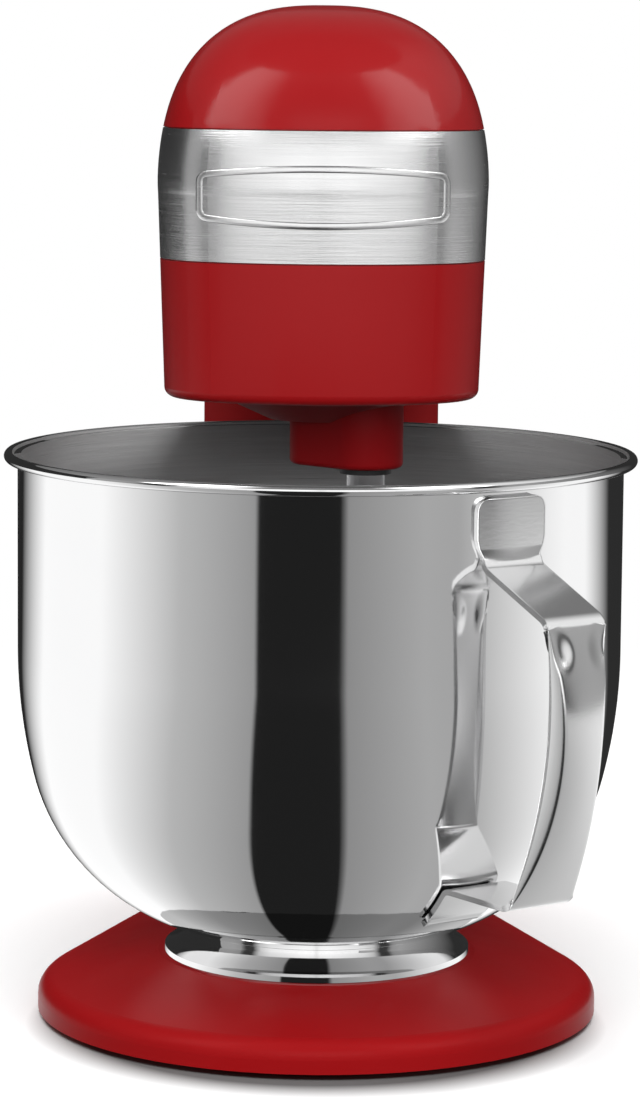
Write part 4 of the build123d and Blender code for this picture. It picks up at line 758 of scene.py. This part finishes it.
def studio_ring(name, line, panels):
    """A ring round the mixer whose brightness changes with the direction from the bowl's axis.

    line is its section, from (reach, height) to (reach, height).
    """
    material, tree, lamp = glow(name)
    place = add_node(tree, "ShaderNodeTexCoord")
    turn = add_node(tree, "ShaderNodeTexGradient", gradient_type="RADIAL")
    ramp = add_node(tree, "ShaderNodeValToRGB")
    tree.links.new(place.outputs["Object"], turn.inputs["Vector"])
    tree.links.new(turn.outputs["Fac"], ramp.inputs["Fac"])
    tree.links.new(ramp.outputs["Color"], lamp.inputs["Color"])
    stops = sorted(((FRONT_SHARE + angle / 360) % 1.0, level) for angle, level in panels)
    elements = ramp.color_ramp.elements
    elements[0].position, elements[1].position = stops[0][0], stops[-1][0]
    for position, _ in stops[1:-1]:
        elements.new(position)
    for element, (position, level) in zip(elements, stops):
        element.position = position
        element.color = (level, level, level, 1.0)
    bm = bmesh.new()
    tip = bm.verts.new((line[0][0], 0.0, line[0][1]))
    for reach, height in line[1:]:
        tip = draw_line(bm, tip, reach, height)
    spin_round(bm, STUDIO_STEPS)
    ring = stage_piece(name, bm, material)
    ring.location = (0.0, BOWL_AXIS_Y, 0.0)
    reflections_only(ring)


def both_sides(panels):
    """The panels together with their mirror images on the other side of the mixer."""
    return [(-angle, level) for angle, level in panels if angle > 0] + list(panels)


def studio_rings():
    shade = [(angle, BOWL_SHADE * level) for angle, level in BOWL_PANELS]
    shade_start = (SHADE_REACH[0], RING_LOW)
    shade_end = (SHADE_REACH[1], RING_LOW)
    head_start = (HEAD_PANELS_START, RING_LOW)
    corner = (STUDIO_REACH, RING_LOW)
    dome_start = (STUDIO_REACH, DOME_PANELS_START)
    top = (STUDIO_REACH, STUDIO_HEIGHT)
    studio_ring("bowl_shade", (shade_start, shade_end), shade)
    studio_ring("bowl_panels", (shade_end, head_start), BOWL_PANELS)
    studio_ring("head_panels", (head_start, corner, dome_start), both_sides(HEAD_SIDE_PANELS))
    studio_ring("dome_panels", (dome_start, top), DOME_PANELS)


def keep_reflections_plain():
    """The steel shows the studio, the bowl itself and the steel over it, not the enamel next to it."""
    for name, node in nodes.items():
        node.visible_glossy = name in SEEN_IN_STEEL


def studio_card(name, level, reach, y, height):
    """A flat round card over the mixer that only reflections see."""
    material, _, lamp = glow(name)
    set_inputs(lamp, Color=(level, level, level, 1.0))
    bm = bmesh.new()
    bmesh.ops.create_circle(bm, cap_ends=True, segments=CARD_SIDES, radius=1.0)
    bmesh.ops.scale(bm, vec=(*reach, 1.0), verts=bm.verts)
    bmesh.ops.translate(bm, verts=bm.verts, vec=(0.0, y, height))
    reflections_only(stage_piece(name, bm, material))


def studio_cards():
    """The ceiling, and a dark card that keeps its light out of the bowl under the head."""
    studio_card("studio_ceiling", CEILING_LEVEL, (STUDIO_REACH, STUDIO_REACH), 0.0, STUDIO_HEIGHT)
    studio_card("head_card", CARD_LEVEL, CARD_REACH, CARD_Y, CARD_HEIGHT)


def studio_floor():
    """White, with a painted contact shadow darkening its colour where the mixer stands, and fading into the
    white of the world at its edge.
    """
    material = bpy.data.materials.new("studio_floor")
    material.use_nodes = True
    tree = material.node_tree
    shader = tree.nodes["Principled BSDF"]
    set_inputs(shader, Roughness=0.6, Specular_IOR_Level=0.0)
    place = add_node(tree, "ShaderNodeTexCoord")
    reach = add_node(tree, "ShaderNodeVectorMath", operation="LENGTH")
    fade = add_node(tree, "ShaderNodeMapRange", interpolation_type="SMOOTHSTEP")
    set_inputs(fade, From_Min=FLOOR_FADE[0], From_Max=FLOOR_FADE[1], To_Min=1.0, To_Max=0.0)
    tree.links.new(place.outputs["Object"], reach.inputs[0])
    tree.links.new(reach.outputs["Value"], fade.inputs["Value"])
    tree.links.new(fade.outputs["Result"], shader.inputs["Alpha"])
    # Painted contact shadow: the floor's colour darkens towards a point just in front of the bowl's axis.
    edge = add_node(tree, "ShaderNodeMapRange")
    set_inputs(edge, From_Min=PAINTED_SHADOW_REACH[0], From_Max=PAINTED_SHADOW_REACH[1], To_Min=PAINTED_SHADOW_DARK, To_Max=FLOOR_WHITE)
    tree.links.new(reach.outputs["Value"], edge.inputs["Value"])
    tree.links.new(edge.outputs["Result"], shader.inputs["Base Color"])
    bm = bmesh.new()
    bmesh.ops.create_circle(bm, cap_ends=True, segments=STUDIO_STEPS, radius=FLOOR_FADE[1])
    floor = stage_piece("studio_floor", bm, material)
    # The floor sits a little to the front, which moves its painted contact shadow to the front of the base.
    floor.location = (0.0, BOWL_AXIS_Y - PAINTED_SHADOW_SHIFT, 0.0)
    floor.visible_diffuse = False
    return floor


def white_world():
    """White where it is seen, reflected or looked through, and a weak even light on the mixer."""
    world = bpy.data.worlds.new("studio_air")
    bpy.context.scene.world = world
    world.use_nodes = True
    tree = world.node_tree
    path = add_node(tree, "ShaderNodeLightPath")
    glossy = add_node(tree, "ShaderNodeMath", operation="ADD", use_clamp=True)
    through = add_node(tree, "ShaderNodeMath", operation="ADD", use_clamp=True)
    level = add_node(tree, "ShaderNodeMapRange")
    set_inputs(level, To_Min=AIR_LIGHT, To_Max=1.0)
    tree.links.new(path.outputs["Is Camera Ray"], glossy.inputs[0])
    tree.links.new(path.outputs["Is Glossy Ray"], glossy.inputs[1])
    tree.links.new(glossy.outputs[0], through.inputs[0])
    tree.links.new(path.outputs["Is Transmission Ray"], through.inputs[1])
    tree.links.new(through.outputs[0], level.inputs["Value"])
    tree.links.new(level.outputs["Result"], tree.nodes["Background"].inputs["Strength"])
    set_inputs(tree.nodes["Background"], Color=(1.0, 1.0, 1.0, 1.0))


def soft_lamp(name, spot, aim, size, power):
    data = bpy.data.lights.new(name, "AREA")
    data.shape = "RECTANGLE"
    data.size, data.size_y = size
    data.energy = power
    lamp = bpy.data.objects.new(name, data)
    bpy.context.scene.collection.objects.link(lamp)
    lamp.location = spot
    lamp.rotation_euler = (Vector(aim) - Vector(spot)).to_track_quat("-Z", "Y").to_euler()
    lamp.visible_glossy = False
    return lamp


def light_studio(floor):
    """The lamps of the list light the mixer alone, and a wide one above it lights the floor alone."""
    lamps = [soft_lamp(name, spot, LAMP_AIM, size, power) for name, spot, size, power in LAMPS]
    floor_lamp = soft_lamp("floor_lamp", FLOOR_LAMP_PLACE, FLOOR_LAMP_AIM, FLOOR_LAMP_SIZE, FLOOR_LAMP_POWER)
    left_out = bpy.data.collections.new("mixer_light")
    left_out.objects.link(floor)
    left_out.collection_objects[0].light_linking.link_state = "EXCLUDE"
    for lamp in lamps:
        lamp.light_linking.receiver_collection = left_out
    floor_light = bpy.data.collections.new("floor_light")
    floor_light.objects.link(floor)
    floor_lamp.light_linking.receiver_collection = floor_light


place_camera()
finish_frame_nodes()
bowl_piece()
handle_piece()
border_piece()
spring_piece()
keep_reflections_plain()
studio_rings()
studio_cards()
white_world()
light_studio(studio_floor())
bpy.context.scene.view_settings.view_transform = "Standard"
